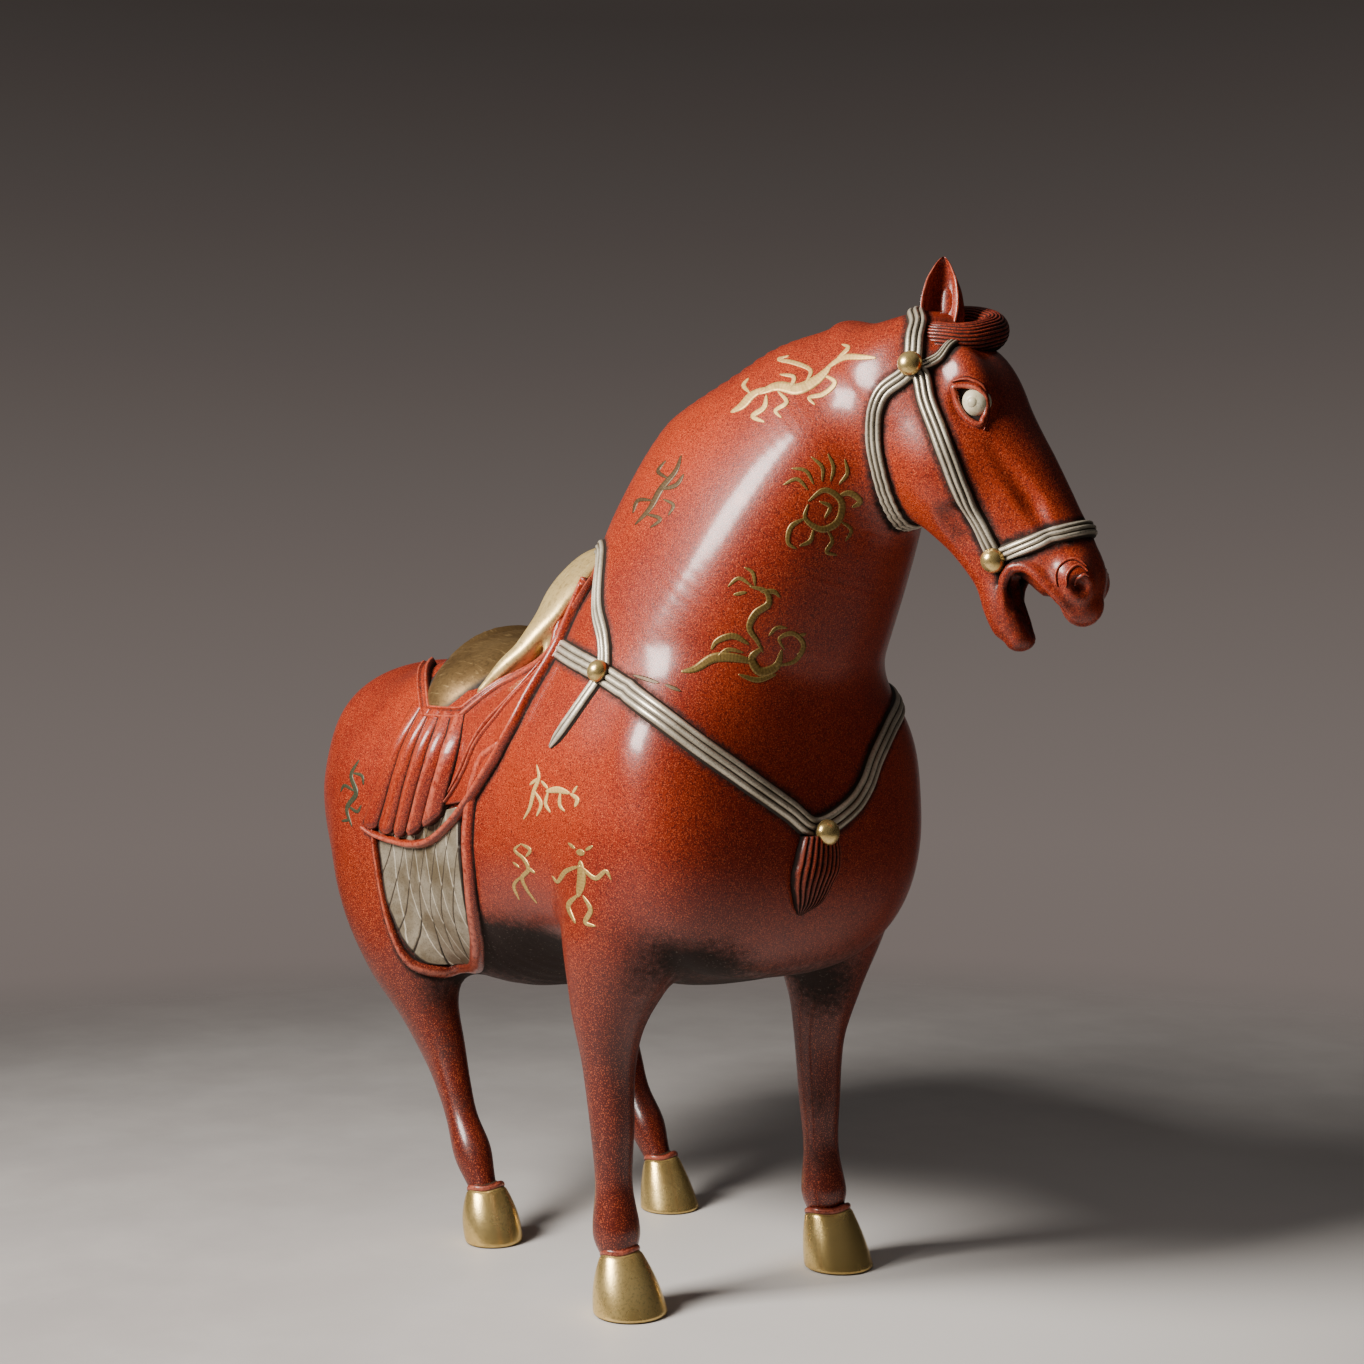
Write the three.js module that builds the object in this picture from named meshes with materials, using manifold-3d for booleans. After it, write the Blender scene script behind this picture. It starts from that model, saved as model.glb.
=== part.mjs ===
// A cast bronze horse in the old court style: a deep round body on four short straight legs,
// an arched neck, the head turned to the horse's left, and tack, saddle and cloths cast with it.
// Millimetres. +X is the way the body faces, +Y its left side, +Z up, and the hooves stand on z = 0.
import * as THREE from 'three';
import Module from 'manifold-3d';

// Driving dimensions
const TRACK_FORE = 103;       // between the middles of the two fore hooves
const TRACK_HIND = 92;
const WHEELBASE = 110;        // from the hind hooves to the fore hooves
const FORE_X = WHEELBASE / 2 + 2.5;
const HIND_X = -WHEELBASE / 2;
const FORE_Y = TRACK_FORE / 2;
const HIND_Y = TRACK_HIND / 2;
const BELLY_Z = 104;          // underside of the barrel
const BACK_Z = 250;           // top of the back under the saddle
const BARREL_HALF = 70;       // half the body's width
const AXIS_Z = 185;           // height of the line that the cloths are laid out round

// The head's own frame: s runs down the face, u to the head's left, w out of the forehead
const HEAD_YAW = THREE.MathUtils.degToRad(25);
const HEAD_PITCH = THREE.MathUtils.degToRad(60.5);
const FOREHEAD = new THREE.Vector3(170, 29.5, 356);

// Hooves: sloping cones on flat soles
const SOLE_RADIUS = 13.7;
const NEAR_HIND_RADIUS = 11.8; // the right hind hoof is smaller
const HOOF_HEIGHT = 20;
const HOOF_TOP_RADIUS = 7.4;
const HOOF_SLOPE = 7.5;       // how far the top lies behind the sole
const HOOF_SIDES = 14;

// Tack
const BREAST_WIDTH = 8.2;
const STRAP_WIDTH = 6.4;
const NOSE_WIDTH = 5.2;
const STRAP_RISE = 2.0;
const STRAP_SUNK = 1.6;
const CLOTH_SUNK = 4;        // how deep the cloths' edges reach into the body
const STRAP_PITCH = 8;        // along a strap, between two sections
const BOSS_RADIUS = 4.4;
const CHEST_BOSS_RADIUS = 5.0;

// Forelock ring and ears
const COIL_MIDDLE = new THREE.Vector3(158, 24.2, 365.4);
const COIL_NORMAL = new THREE.Vector3(0.335, -0.319, 0.886).normalize();
const COIL_RADIUS = 11.5;
const COIL_THICK = 6;
const EAR_BASE = new THREE.Vector3(155.8, 14.7, 361);
const EAR_TIP = new THREE.Vector3(155, 19, 392);

// Mesh fineness
const BODY_CELL = 3.4;        // grid of the first dense mesh over the body
const HEAD_CELL = 2.0;        // and over the head
const HEAD_FROM_X = 126;
const HEAD_FROM_Z = 262;
const BLOCK = 4;              // grid steps of a block that is skipped where the surface is far
const FAR_CELLS = 6;
const BODY_TRIANGLES = 9000;
const CAST_TRIANGLES = 9700;  // of the whole
const MOST_PASSES = 60;
const PASS_SHARE = 0.35;      // of the edges, the cheapest, tried in one pass
const MOST_TURN = 0.2;        // cosine of the most that a face may turn in one merge
const SLIVER = 1e-4;
const HEAD_WEIGHT = 4;        // how much more faithfully the head is kept
const SETTLE_STEPS = 10;

const wasm = await Module();
wasm.setup();

// Small helpers
const vec = (x, y, z) => new THREE.Vector3(x, y, z);
const clamp = THREE.MathUtils.clamp;
const lerp = THREE.MathUtils.lerp;
const degToRad = THREE.MathUtils.degToRad;

/** Joins two signed distances with a fillet about as wide as `round`. */
function join(a, b, round) {
  const h = Math.max(round - Math.abs(a - b), 0) / round;
  return Math.min(a, b) - h * h * round / 4;
}

/** Cuts b out of a, with a rounded edge. */
function carve(a, b, round) {
  return -join(-a, b, round);
}

const headAxis = vec(
  Math.cos(HEAD_PITCH) * Math.cos(HEAD_YAW),
  Math.cos(HEAD_PITCH) * Math.sin(HEAD_YAW),
  -Math.sin(HEAD_PITCH));
const headLeft = vec(-Math.sin(HEAD_YAW), Math.cos(HEAD_YAW), 0);
const headFace = headAxis.clone().cross(headLeft);
const headAxes = [headAxis, headLeft, headFace];

/** A point of the head's frame in the horse's frame. */
function onHead(s, u, w) {
  return FOREHEAD.clone()
    .addScaledVector(headAxis, s)
    .addScaledVector(headLeft, u)
    .addScaledVector(headFace, w);
}

/**
 * A limb is a chain of oval rings along a smooth axis. Each ring gives its middle, its half width
 * to the side and its half depths over (back, crest, face, front of a leg) and under the axis.
 */
class Limb {
  constructor(rings, { left = vec(0, 1, 0), caps = [10, 10], power = 2, steps = 5 } = {}) {
    this.power = power;
    this.caps = caps;
    const curve = new THREE.CatmullRomCurve3(rings.map((r) => r.at), false, 'centripetal');
    const count = (rings.length - 1) * steps;
    this.stations = [];
    for (let i = 0; i <= count; i += 1) {
      const at = curve.getPoint(i / count);
      const axis = curve.getTangent(i / count);
      const side = left.clone().addScaledVector(axis, -left.dot(axis)).normalize();
      const ring = Math.min(Math.floor(i / steps), rings.length - 2);
      const t = i / steps - ring;
      const eased = (key) => Limb.smooth(rings, key, ring, t);
      this.stations.push({
        at, axis, side, under: side.clone().cross(axis),
        half: eased('half'), over: eased('over'), below: eased('under'),
      });
    }
  }

  /** A Catmull-Rom value of one ring size between ring i and ring i + 1. */
  static smooth(rings, key, i, t) {
    const p0 = rings[Math.max(i - 1, 0)][key];
    const p1 = rings[i][key];
    const p2 = rings[i + 1][key];
    const p3 = rings[Math.min(i + 2, rings.length - 1)][key];
    return p1 + 0.5 * t * (p2 - p0 + t * (2 * p0 - 5 * p1 + 4 * p2 - p3 + t * (3 * (p1 - p2) + p3 - p0)));
  }

  /** Signed distance, near enough, from a point to the limb's skin. */
  distance(x, y, z) {
    let best = Infinity;
    let at = 0;
    let share = 0;
    for (let i = 0; i < this.stations.length - 1; i += 1) {
      const a = this.stations[i].at;
      const b = this.stations[i + 1].at;
      const dx = b.x - a.x;
      const dy = b.y - a.y;
      const dz = b.z - a.z;
      const t = clamp(((x - a.x) * dx + (y - a.y) * dy + (z - a.z) * dz) / (dx * dx + dy * dy + dz * dz), 0, 1);
      const ex = x - a.x - dx * t;
      const ey = y - a.y - dy * t;
      const ez = z - a.z - dz * t;
      const d = ex * ex + ey * ey + ez * ez;
      if (d < best) {
        best = d;
        at = i;
        share = t;
      }
    }
    const a = this.stations[at];
    const b = this.stations[at + 1];
    const vx = x - lerp(a.at.x, b.at.x, share);
    const vy = y - lerp(a.at.y, b.at.y, share);
    const vz = z - lerp(a.at.z, b.at.z, share);
    const dot = (key) => lerp(
      vx * a[key].x + vy * a[key].y + vz * a[key].z,
      vx * b[key].x + vy * b[key].y + vz * b[key].z, share);
    const u = dot('side');
    const w = dot('under');
    const s = dot('axis');
    const half = lerp(a.half, b.half, share);
    const deep = w > 0 ? lerp(a.below, b.below, share) : lerp(a.over, b.over, share);
    const cap = s < 0 ? this.caps[0] : this.caps[1];
    const k = (Math.abs(u / half) ** this.power + Math.abs(w / deep) ** this.power
      + Math.abs(s / cap) ** this.power) ** (1 / this.power);
    const r = Math.sqrt(vx * vx + vy * vy + vz * vz);
    return k < 0.05 ? -Math.min(half, deep) : r * (1 - 1 / k);
  }
}

/** Signed distance, near enough, to an ellipsoid with its own axes. */
function ovoid(middle, halves, axes = [vec(1, 0, 0), vec(0, 1, 0), vec(0, 0, 1)]) {
  return (x, y, z) => {
    const dx = x - middle.x;
    const dy = y - middle.y;
    const dz = z - middle.z;
    const part = axes.map((a, i) => (dx * a.x + dy * a.y + dz * a.z) / halves[i]);
    const k = Math.hypot(...part);
    return k < 0.05 ? -Math.min(...halves) : Math.hypot(dx, dy, dz) * (1 - 1 / k);
  };
}

/** The same ellipsoid on both sides of the head. */
function pair(s, u, w, halves) {
  const right = ovoid(onHead(s, -u, w), halves, headAxes);
  const left = ovoid(onHead(s, u, w), halves, headAxes);
  return (x, y, z) => Math.min(right(x, y, z), left(x, y, z));
}

const ring = (at, half, over, under = over) => ({ at, half, over, under });

const torso = new Limb([
  ring(vec(-158, 0, 196), 69, 54, 64),
  ring(vec(-118, 0, 190), 71, 64, 80),
  ring(vec(-66, 0, 184), BARREL_HALF, BACK_Z - 184, 184 - BELLY_Z),
  ring(vec(-15, 0, 186), BARREL_HALF, 66, 63),
  ring(vec(38, 0, 192), 73, 62, 73.5),
  ring(vec(73, 0, 195), 71, 58, 70),
], { caps: [44, 37], power: 2.5 });

const neck = new Limb([
  ring(vec(18, 0, 200), 66, 68, 70),
  ring(vec(50, 0, 235), 60, 78, 57),
  ring(vec(72, 3, 266), 53, 90, 46),
  ring(vec(92, 8, 298), 46, 88, 39),
  ring(vec(112, 13, 326), 36, 61, 31),
  ring(vec(130, 18, 344), 24, 42, 24),
], { caps: [30, 16] });

const skull = new Limb([
  ring(onHead(-17, 0, -26), 17, 20, 20),
  ring(onHead(5, 0, -25), 21, 27.5, 24),
  ring(onHead(25, 0, -25), 21, 26.6, 24),
  ring(onHead(45, 0, -22), 17, 23, 22),
  ring(onHead(63, 0, -19), 13.5, 19, 16),
  ring(onHead(77, 0, -16), 12.3, 15, 13.5),
  ring(onHead(86, 0, -14.5), 11.2, 11.5, 11),
  ring(onHead(94, 0, -16.5), 8.2, 7.8, 7),
], { left: headLeft, caps: [12, 8] });

const jaw = new Limb([
  ring(onHead(20, 0, -40), 14, 12, 14),
  ring(onHead(45, 0, -39), 11, 9, 11),
  ring(onHead(68, 0, -38.5), 8.5, 6, 8),
  ring(onHead(80, 0, -39.5), 8.5, 6.5, 9),
  ring(onHead(88, 0, -40.5), 8, 6, 8.5),
  ring(onHead(93, 0, -41), 6.5, 5, 6),
], { left: headLeft, caps: [12, 5] });

const foreleg = new Limb([
  ring(vec(62, 46, 182), 26, 34, 34),
  ring(vec(52, 50, 140), 23, 25.5, 29.5),
  ring(vec(46.5, FORE_Y + 1.5, 112), 14.6, 15.4, 17.6),
  ring(vec(44.5, FORE_Y + 0.8, 92), 10.2, 10.8, 11.4),
  ring(vec(45.5, FORE_Y, 66), 8.2, 9, 9),
  ring(vec(46.5, FORE_Y, 46), 7.1, 7.6, 7.6),
  ring(vec(48.5, FORE_Y, 28), 9, 9.6, 9.8),
  ring(vec(51, FORE_Y, 18), 6.3, 6.4, 6.4),
], { caps: [30, 6] });

const hindleg = new Limb([
  ring(vec(-140, 40, 186), 33, 42, 42),
  ring(vec(-136, 48, 150), 29, 38, 33),
  ring(vec(-119, HIND_Y + 6, 118), 20, 27, 23.5),
  ring(vec(-107, HIND_Y + 2, 94), 12.5, 12.5, 18.5),
  ring(vec(-96, HIND_Y, 76), 8.4, 6.5, 17),
  ring(vec(-88, HIND_Y, 60), 7, 5.8, 11.5),
  ring(vec(-82, HIND_Y, 48), 6.6, 6.2, 9.2),
  ring(vec(-73, HIND_Y, 34), 8, 8.4, 8.8),
  ring(vec(-64, HIND_Y, 21), 5.8, 6, 6.2),
], { caps: [30, 6] });

const tail = new Limb([
  ring(vec(-184, 0, 228), 8, 8),
  ring(vec(-201, 0, 208), 9, 8),
  ring(vec(-205, 0, 184), 10.5, 9),
  ring(vec(-200, 0, 160), 9, 8),
  ring(vec(-193, 0, 144), 5, 5),
], { caps: [8, 5] });

const poll = ovoid(vec(141, 18, 351), [20, 17, 20]);
const cheek = ovoid(onHead(24, 0, -34), [26, 22, 19], headAxes);
const brow = pair(7, 14.5, -8, [12, 5.5, 6]);
const underCheek = pair(47, 17.5, -37.5, [9, 3.5, 4.5]);
const socket = pair(16.5, 21.8, -11, [9.2, 3.8, 6.3]);
const flare = pair(87, 8.6, -12, [8, 5.4, 6.5]);
const nostril = pair(91.5, 12.2, -10.5, [4.6, 3.6, 3.2]);
const mouth = ovoid(onHead(95, 0, -31.5), [22, 22, 5.2], headAxes);

// Saddle: a domed seat with a raised cantle and a tall arched pommel board
const seatDome = ovoid(vec(-80, 0, 223.5), [45, 63.5, 37.5]);
const seatDish = ovoid(vec(-72, 0, 287), [26, 36, 30]);
const cantle = ovoid(vec(-112, 0, 230), [8, 42, 35.5]);
const seatFill = ovoid(vec(-99, 0, 228), [26, 52, 35]);
const pommelBoard = ovoid(vec(-28, 0, 244), [7.5, 38, 48]);
const pommelHalf = [             // x, y, z, half width, depth under the band and over it
  [-49, 54, 236, 2, 5, 2.4],
  [-42, 48, 246, 4.2, 7, 3],
  [-37.7, 42, 252.7, 5.4, 7.5, 3.4],
  [-34, 37, 260.5, 7, 6, 3.6],
  [-32.5, 31.5, 268, 9.5, 4.5, 3.6],
  [-33, 25, 277, 11.5, 3.8, 3.6],
  [-33.5, 18, 284.5, 12, 3.8, 3.6],
  [-34, 8, 292.2, 11.5, 3.8, 3.6],
];
const pommelRim = new Limb([
  ...pommelHalf.map(([x, y, z, ...sizes]) => ring(vec(x, -y, z), ...sizes)),
  ring(vec(-34, 0, 294.6), 11, 3.8, 3.6),
  ...pommelHalf.toReversed().map(([x, y, z, ...sizes]) => ring(vec(x, y, z), ...sizes)),
], { left: vec(1, 0, 0), caps: [4, 4] });

/** The bare horse, without hooves, ears, saddle or tack. */
function bare(x, y, z) {
  const side = Math.abs(y);
  let d = torso.distance(x, y, z);
  d = join(d, neck.distance(x, y, z), 14);
  if (z < 240) {
    d = join(d, foreleg.distance(x, side, z), 7);
    d = join(d, hindleg.distance(x, side, z), 18);
  }
  if (x < -150) {
    d = join(d, tail.distance(x, y, z), 4);
  }
  if (z > 240 && x > 90) {
    let head = join(skull.distance(x, y, z), jaw.distance(x, y, z), 8);
    head = join(head, cheek(x, y, z), 10);
    head = join(head, brow(x, y, z), 6);
    head = join(head, poll(x, y, z), 12);
    head = carve(head, underCheek(x, y, z), 4);
    d = join(d, head, 13);
    d = join(d, flare(x, y, z), 4);
    d = carve(d, nostril(x, y, z), 1.5);
    d = carve(d, socket(x, y, z), 2);
    d = carve(d, mouth(x, y, z), 2);
  }
  return d;
}

/** The horse with the saddle cast on its back. */
function saddled(x, y, z) {
  let d = bare(x, y, z);
  if (z > 200 && x < 0) {
    let seat = join(seatDome(x, y, z), cantle(x, y, z), 10);
    seat = join(seat, seatFill(x, y, z), 8);
    seat = carve(seat, seatDish(x, y, z), 8);
    const pommel = join(pommelBoard(x, y, z), pommelRim.distance(x, y, z), 2);
    seat = join(seat, pommel, 5);
    d = join(d, seat, 2.5);
  }
  return d;
}

/** Positions of the grid planes along one axis, closer together past `from`. */
function planes(low, high, cell, fine, from) {
  const list = [low];
  while (list.at(-1) < high) {
    list.push(list.at(-1) + (list.at(-1) < from ? cell : fine));
  }
  return list;
}

/**
 * Wraps a closed mesh round the zero level of a field: one vertex in each grid cell that the
 * surface crosses, and two triangles across each grid edge that it crosses.
 */
function wrap(field, xs, ys, zs) {
  const nx = xs.length;
  const ny = ys.length;
  const nz = zs.length;
  const at = (i, j, k) => (k * ny + j) * nx + i;
  const values = new Float32Array(nx * ny * nz);
  for (let k = 0; k < nz; k += BLOCK) {
    for (let j = 0; j < ny; j += BLOCK) {
      for (let i = 0; i < nx; i += BLOCK) {
        const middle = field(
          xs[Math.min(i + BLOCK / 2, nx - 1)],
          ys[Math.min(j + BLOCK / 2, ny - 1)],
          zs[Math.min(k + BLOCK / 2, nz - 1)]);
        const far = Math.abs(middle) > FAR_CELLS * BODY_CELL;
        for (let c = k; c < Math.min(k + BLOCK, nz); c += 1) {
          for (let b = j; b < Math.min(j + BLOCK, ny); b += 1) {
            for (let a = i; a < Math.min(i + BLOCK, nx); a += 1) {
              values[at(a, b, c)] = far ? middle : field(xs[a], ys[b], zs[c]);
            }
          }
        }
      }
    }
  }
  const corners = [[0, 0, 0], [1, 0, 0], [0, 1, 0], [1, 1, 0], [0, 0, 1], [1, 0, 1], [0, 1, 1], [1, 1, 1]];
  const edges = [[0, 1], [2, 3], [4, 5], [6, 7], [0, 2], [1, 3], [4, 6], [5, 7], [0, 4], [1, 5], [2, 6], [3, 7]];
  const vertexOf = new Int32Array(nx * ny * nz).fill(-1);
  const points = [];
  for (let k = 0; k < nz - 1; k += 1) {
    for (let j = 0; j < ny - 1; j += 1) {
      for (let i = 0; i < nx - 1; i += 1) {
        const v = corners.map(([a, b, c]) => values[at(i + a, j + b, k + c)]);
        const sum = [0, 0, 0];
        let crossed = 0;
        for (const [e, f] of edges) {
          if ((v[e] < 0) !== (v[f] < 0)) {
            const t = v[e] / (v[e] - v[f]);
            for (let a = 0; a < 3; a += 1) {
              sum[a] += lerp(corners[e][a], corners[f][a], t);
            }
            crossed += 1;
          }
        }
        if (crossed) {
          vertexOf[at(i, j, k)] = points.length;
          points.push([
            lerp(xs[i], xs[i + 1], sum[0] / crossed),
            lerp(ys[j], ys[j + 1], sum[1] / crossed),
            lerp(zs[k], zs[k + 1], sum[2] / crossed),
          ]);
        }
      }
    }
  }
  const triangles = [];
  const quad = (a, b, c, d, flip) => {
    const q = flip ? [a, d, c, b] : [a, b, c, d];
    triangles.push([q[0], q[1], q[2]], [q[0], q[2], q[3]]);
  };
  for (let k = 1; k < nz - 1; k += 1) {
    for (let j = 1; j < ny - 1; j += 1) {
      for (let i = 1; i < nx - 1; i += 1) {
        const inside = values[at(i, j, k)] < 0;
        const cellAt = (a, b, c) => vertexOf[at(i - a, j - b, k - c)];
        if (inside !== (values[at(i + 1, j, k)] < 0)) {
          quad(cellAt(0, 1, 1), cellAt(0, 0, 1), cellAt(0, 0, 0), cellAt(0, 1, 0), !inside);
        }
        if (inside !== (values[at(i, j + 1, k)] < 0)) {
          quad(cellAt(1, 0, 1), cellAt(1, 0, 0), cellAt(0, 0, 0), cellAt(0, 0, 1), !inside);
        }
        if (inside !== (values[at(i, j, k + 1)] < 0)) {
          quad(cellAt(1, 1, 0), cellAt(0, 1, 0), cellAt(0, 0, 0), cellAt(1, 0, 0), !inside);
        }
      }
    }
  }
  return { points, triangles };
}

/** A sum of squared distances to planes, as the ten numbers of a symmetric matrix. */
function addPlane(q, at, nx, ny, nz, d, weight) {
  const n = [nx, ny, nz, d];
  let i = at;
  for (let r = 0; r < 4; r += 1) {
    for (let c = r; c < 4; c += 1) {
      q[i] += weight * n[r] * n[c];
      i += 1;
    }
  }
}

/** The best place for two merged vertices and what it costs. */
function bestPlace(q, a, b, points) {
  const s = new Array(10);
  for (let i = 0; i < 10; i += 1) {
    s[i] = q[a * 10 + i] + q[b * 10 + i];
  }
  const mid = [0, 1, 2].map((i) => (points[a][i] + points[b][i]) / 2);
  const pull = 1e-3 * (s[0] + s[4] + s[7]) + 1e-9;
  const m = [s[0] + pull, s[1], s[2], s[4] + pull, s[5], s[7] + pull];
  const r = [pull * mid[0] - s[3], pull * mid[1] - s[6], pull * mid[2] - s[8]];
  const c0 = m[3] * m[5] - m[4] * m[4];
  const c1 = m[2] * m[4] - m[1] * m[5];
  const c2 = m[1] * m[4] - m[2] * m[3];
  const det = m[0] * c0 + m[1] * c1 + m[2] * c2;
  const x = (c0 * r[0] + c1 * r[1] + c2 * r[2]) / det;
  const y = (c1 * r[0] + (m[0] * m[5] - m[2] * m[2]) * r[1] + (m[1] * m[2] - m[0] * m[4]) * r[2]) / det;
  const z = (c2 * r[0] + (m[1] * m[2] - m[0] * m[4]) * r[1] + (m[0] * m[3] - m[1] * m[1]) * r[2]) / det;
  const cost = s[0] * x * x + 2 * s[1] * x * y + 2 * s[2] * x * z + 2 * s[3] * x
    + s[4] * y * y + 2 * s[5] * y * z + 2 * s[6] * y + s[7] * z * z + 2 * s[8] * z + s[9];
  return { place: [x, y, z], cost };
}

/** Twice the area vector of a triangle. */
function crossOf(a, b, c) {
  const ux = b[0] - a[0];
  const uy = b[1] - a[1];
  const uz = b[2] - a[2];
  const vx = c[0] - a[0];
  const vy = c[1] - a[1];
  const vz = c[2] - a[2];
  return [uy * vz - uz * vy, uz * vx - ux * vz, ux * vy - uy * vx];
}

/**
 * Thins a closed mesh to about `target` triangles. Each pass merges the ends of the cheapest
 * edges, leaves the neighbours of a merged edge alone, and never folds a face over.
 */
function thinOut(mesh, target) {
  const points = mesh.points.map((p) => [...p]);
  let triangles = mesh.triangles.map((t) => [...t]);
  const quadrics = new Float64Array(points.length * 10);
  for (const [a, b, c] of triangles) {
    const n = crossOf(points[a], points[b], points[c]);
    const size = Math.hypot(...n);
    if (size > 0) {
      const [nx, ny, nz] = n.map((v) => v / size);
      const d = -(nx * points[a][0] + ny * points[a][1] + nz * points[a][2]);
      for (const v of [a, b, c]) {
        addPlane(quadrics, v * 10, nx, ny, nz, d, size * (points[a][0] > HEAD_FROM_X ? HEAD_WEIGHT : 1));
      }
    }
  }
  for (let pass = 0; pass < MOST_PASSES && triangles.length > target; pass += 1) {
    const around = points.map(() => []);
    triangles.forEach((t, i) => t.forEach((v) => around[v].push(i)));
    const edges = [];
    for (const [a, b, c] of triangles) {
      for (const [e, f] of [[a, b], [b, c], [c, a]]) {
        if (e < f) {
          edges.push({ e, f, ...bestPlace(quadrics, e, f, points) });
        }
      }
    }
    edges.sort((p, q) => p.cost - q.cost);
    const busy = new Uint8Array(points.length);
    const dead = new Uint8Array(triangles.length);
    let left = triangles.length;
    for (const { e, f, place } of edges.slice(0, Math.ceil(edges.length * PASS_SHARE))) {
      if (left <= target) {
        break;
      }
      if (busy[e] || busy[f] || points[e][2] < SLIVER || points[f][2] < SLIVER) {
        continue;
      }
      const ringE = new Set(around[e].flatMap((i) => triangles[i]));
      const ringF = new Set(around[f].flatMap((i) => triangles[i]));
      let shared = 0;
      for (const v of ringE) {
        shared += ringF.has(v) ? 1 : 0;
      }
      if (shared !== 4) {
        continue;
      }
      const folds = [...around[e], ...around[f]].some((i) => {
        const t = triangles[i];
        if (t.includes(e) && t.includes(f)) {
          return false;
        }
        const before = crossOf(...t.map((v) => points[v]));
        if (Math.hypot(...before) < SLIVER) {
          return false;
        }
        const after = crossOf(...t.map((v) => (v === e || v === f ? place : points[v])));
        const dot = before[0] * after[0] + before[1] * after[1] + before[2] * after[2];
        return dot <= MOST_TURN * Math.hypot(...before) * Math.hypot(...after);
      });
      if (folds) {
        continue;
      }
      points[e] = place;
      for (let i = 0; i < 10; i += 1) {
        quadrics[e * 10 + i] += quadrics[f * 10 + i];
      }
      for (const i of around[f]) {
        if (triangles[i].includes(e)) {
          dead[i] = 1;
          left -= 1;
        } else {
          triangles[i] = triangles[i].map((v) => (v === f ? e : v));
        }
      }
      for (const v of ringE) {
        busy[v] = 1;
      }
      for (const v of ringF) {
        busy[v] = 1;
      }
    }
    triangles = triangles.filter((t, i) => !dead[i]);
  }
  const used = new Map();
  const kept = [];
  const named = triangles.map((t) => t.map((v) => {
    if (!used.has(v)) {
      used.set(v, kept.length);
      kept.push(points[v]);
    }
    return used.get(v);
  }));
  return { points: kept, triangles: named };
}

/** The outward direction of a field at a point. */
function outward(field, p) {
  const h = 0.4;
  return vec(
    field(p.x + h, p.y, p.z) - field(p.x - h, p.y, p.z),
    field(p.x, p.y + h, p.z) - field(p.x, p.y - h, p.z),
    field(p.x, p.y, p.z + h) - field(p.x, p.y, p.z - h)).divideScalar(2 * h);
}

/** Moves a point to the nearest skin; the result has the skin's own outward direction. */
function settle(p) {
  const at = p.clone();
  for (let i = 0; i < SETTLE_STEPS; i += 1) {
    const slope = outward(bare, at);
    const step = clamp(bare(at.x, at.y, at.z) / Math.max(slope.lengthSq(), 0.1), -5, 5);
    at.addScaledVector(slope, -step);
  }
  return { at, out: outward(bare, at).normalize() };
}

/** The skin point at a place along the body and a turn down from the back, on one side. */
function onSkin(x, turn, side) {
  const angle = degToRad(turn);
  const dir = vec(0, side * Math.sin(angle), Math.cos(angle));
  const reach = (r) => bare(x, dir.y * r, AXIS_Z + dir.z * r);
  let outer = 120;
  while (reach(outer - 3) > 0 && outer > 10) {
    outer -= 3;
  }
  let inner = outer - 3;
  for (let i = 0; i < 12; i += 1) {
    const middle = (inner + outer) / 2;
    if (reach(middle) > 0) {
      outer = middle;
    } else {
      inner = middle;
    }
  }
  const at = vec(x, dir.y * inner, AXIS_Z + dir.z * inner);
  return { at, out: outward(bare, at).normalize() };
}

const closedCurve = (list) => new THREE.CatmullRomCurve3(list, true, 'centripetal');
const openCurve = (list) => new THREE.CatmullRomCurve3(list, false, 'centripetal');

/** A closed mesh from rings of equal count; the ends are flat fans, or a loop without ends. */
function loft(rings, loop = false) {
  const count = rings[0].length;
  const points = rings.flat().map((p) => p.toArray());
  const triangles = [];
  const last = loop ? rings.length : rings.length - 1;
  for (let i = 0; i < last; i += 1) {
    const next = (i + 1) % rings.length;
    for (let j = 0; j < count; j += 1) {
      const k = (j + 1) % count;
      const a = i * count + j;
      const b = i * count + k;
      const c = next * count + k;
      const d = next * count + j;
      triangles.push([a, b, c], [a, c, d]);
    }
  }
  if (!loop) {
    const end = (rings.length - 1) * count;
    for (let j = 1; j < count - 1; j += 1) {
      triangles.push([0, j + 1, j], [end, end + j, end + j + 1]);
    }
  }
  return { points, triangles };
}

/** A raised strap laid along the skin through guide points. */
function band(guides, width, options = {}) {
  const { rise = STRAP_RISE, pitch = STRAP_PITCH, loop = false, end = 1, sunk = STRAP_SUNK } = options;
  const curve = loop ? closedCurve(guides) : openCurve(guides);
  const count = Math.max(3, Math.round(curve.getLength() / pitch));
  const rings = [];
  for (let i = 0; i < count + (loop ? 0 : 1); i += 1) {
    const { at, out } = settle(curve.getPointAt(i / count));
    const along = curve.getTangentAt(i / count);
    const side = out.clone().cross(along).normalize();
    const half = width / 2 * lerp(1, end, i / count);
    const put = (a, b) => at.clone().addScaledVector(side, a * half).addScaledVector(out, b);
    rings.push([put(1, -sunk), put(0.9, rise), put(-0.9, rise), put(-1, -sunk)]);
  }
  return loft(rings, loop);
}

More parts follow.
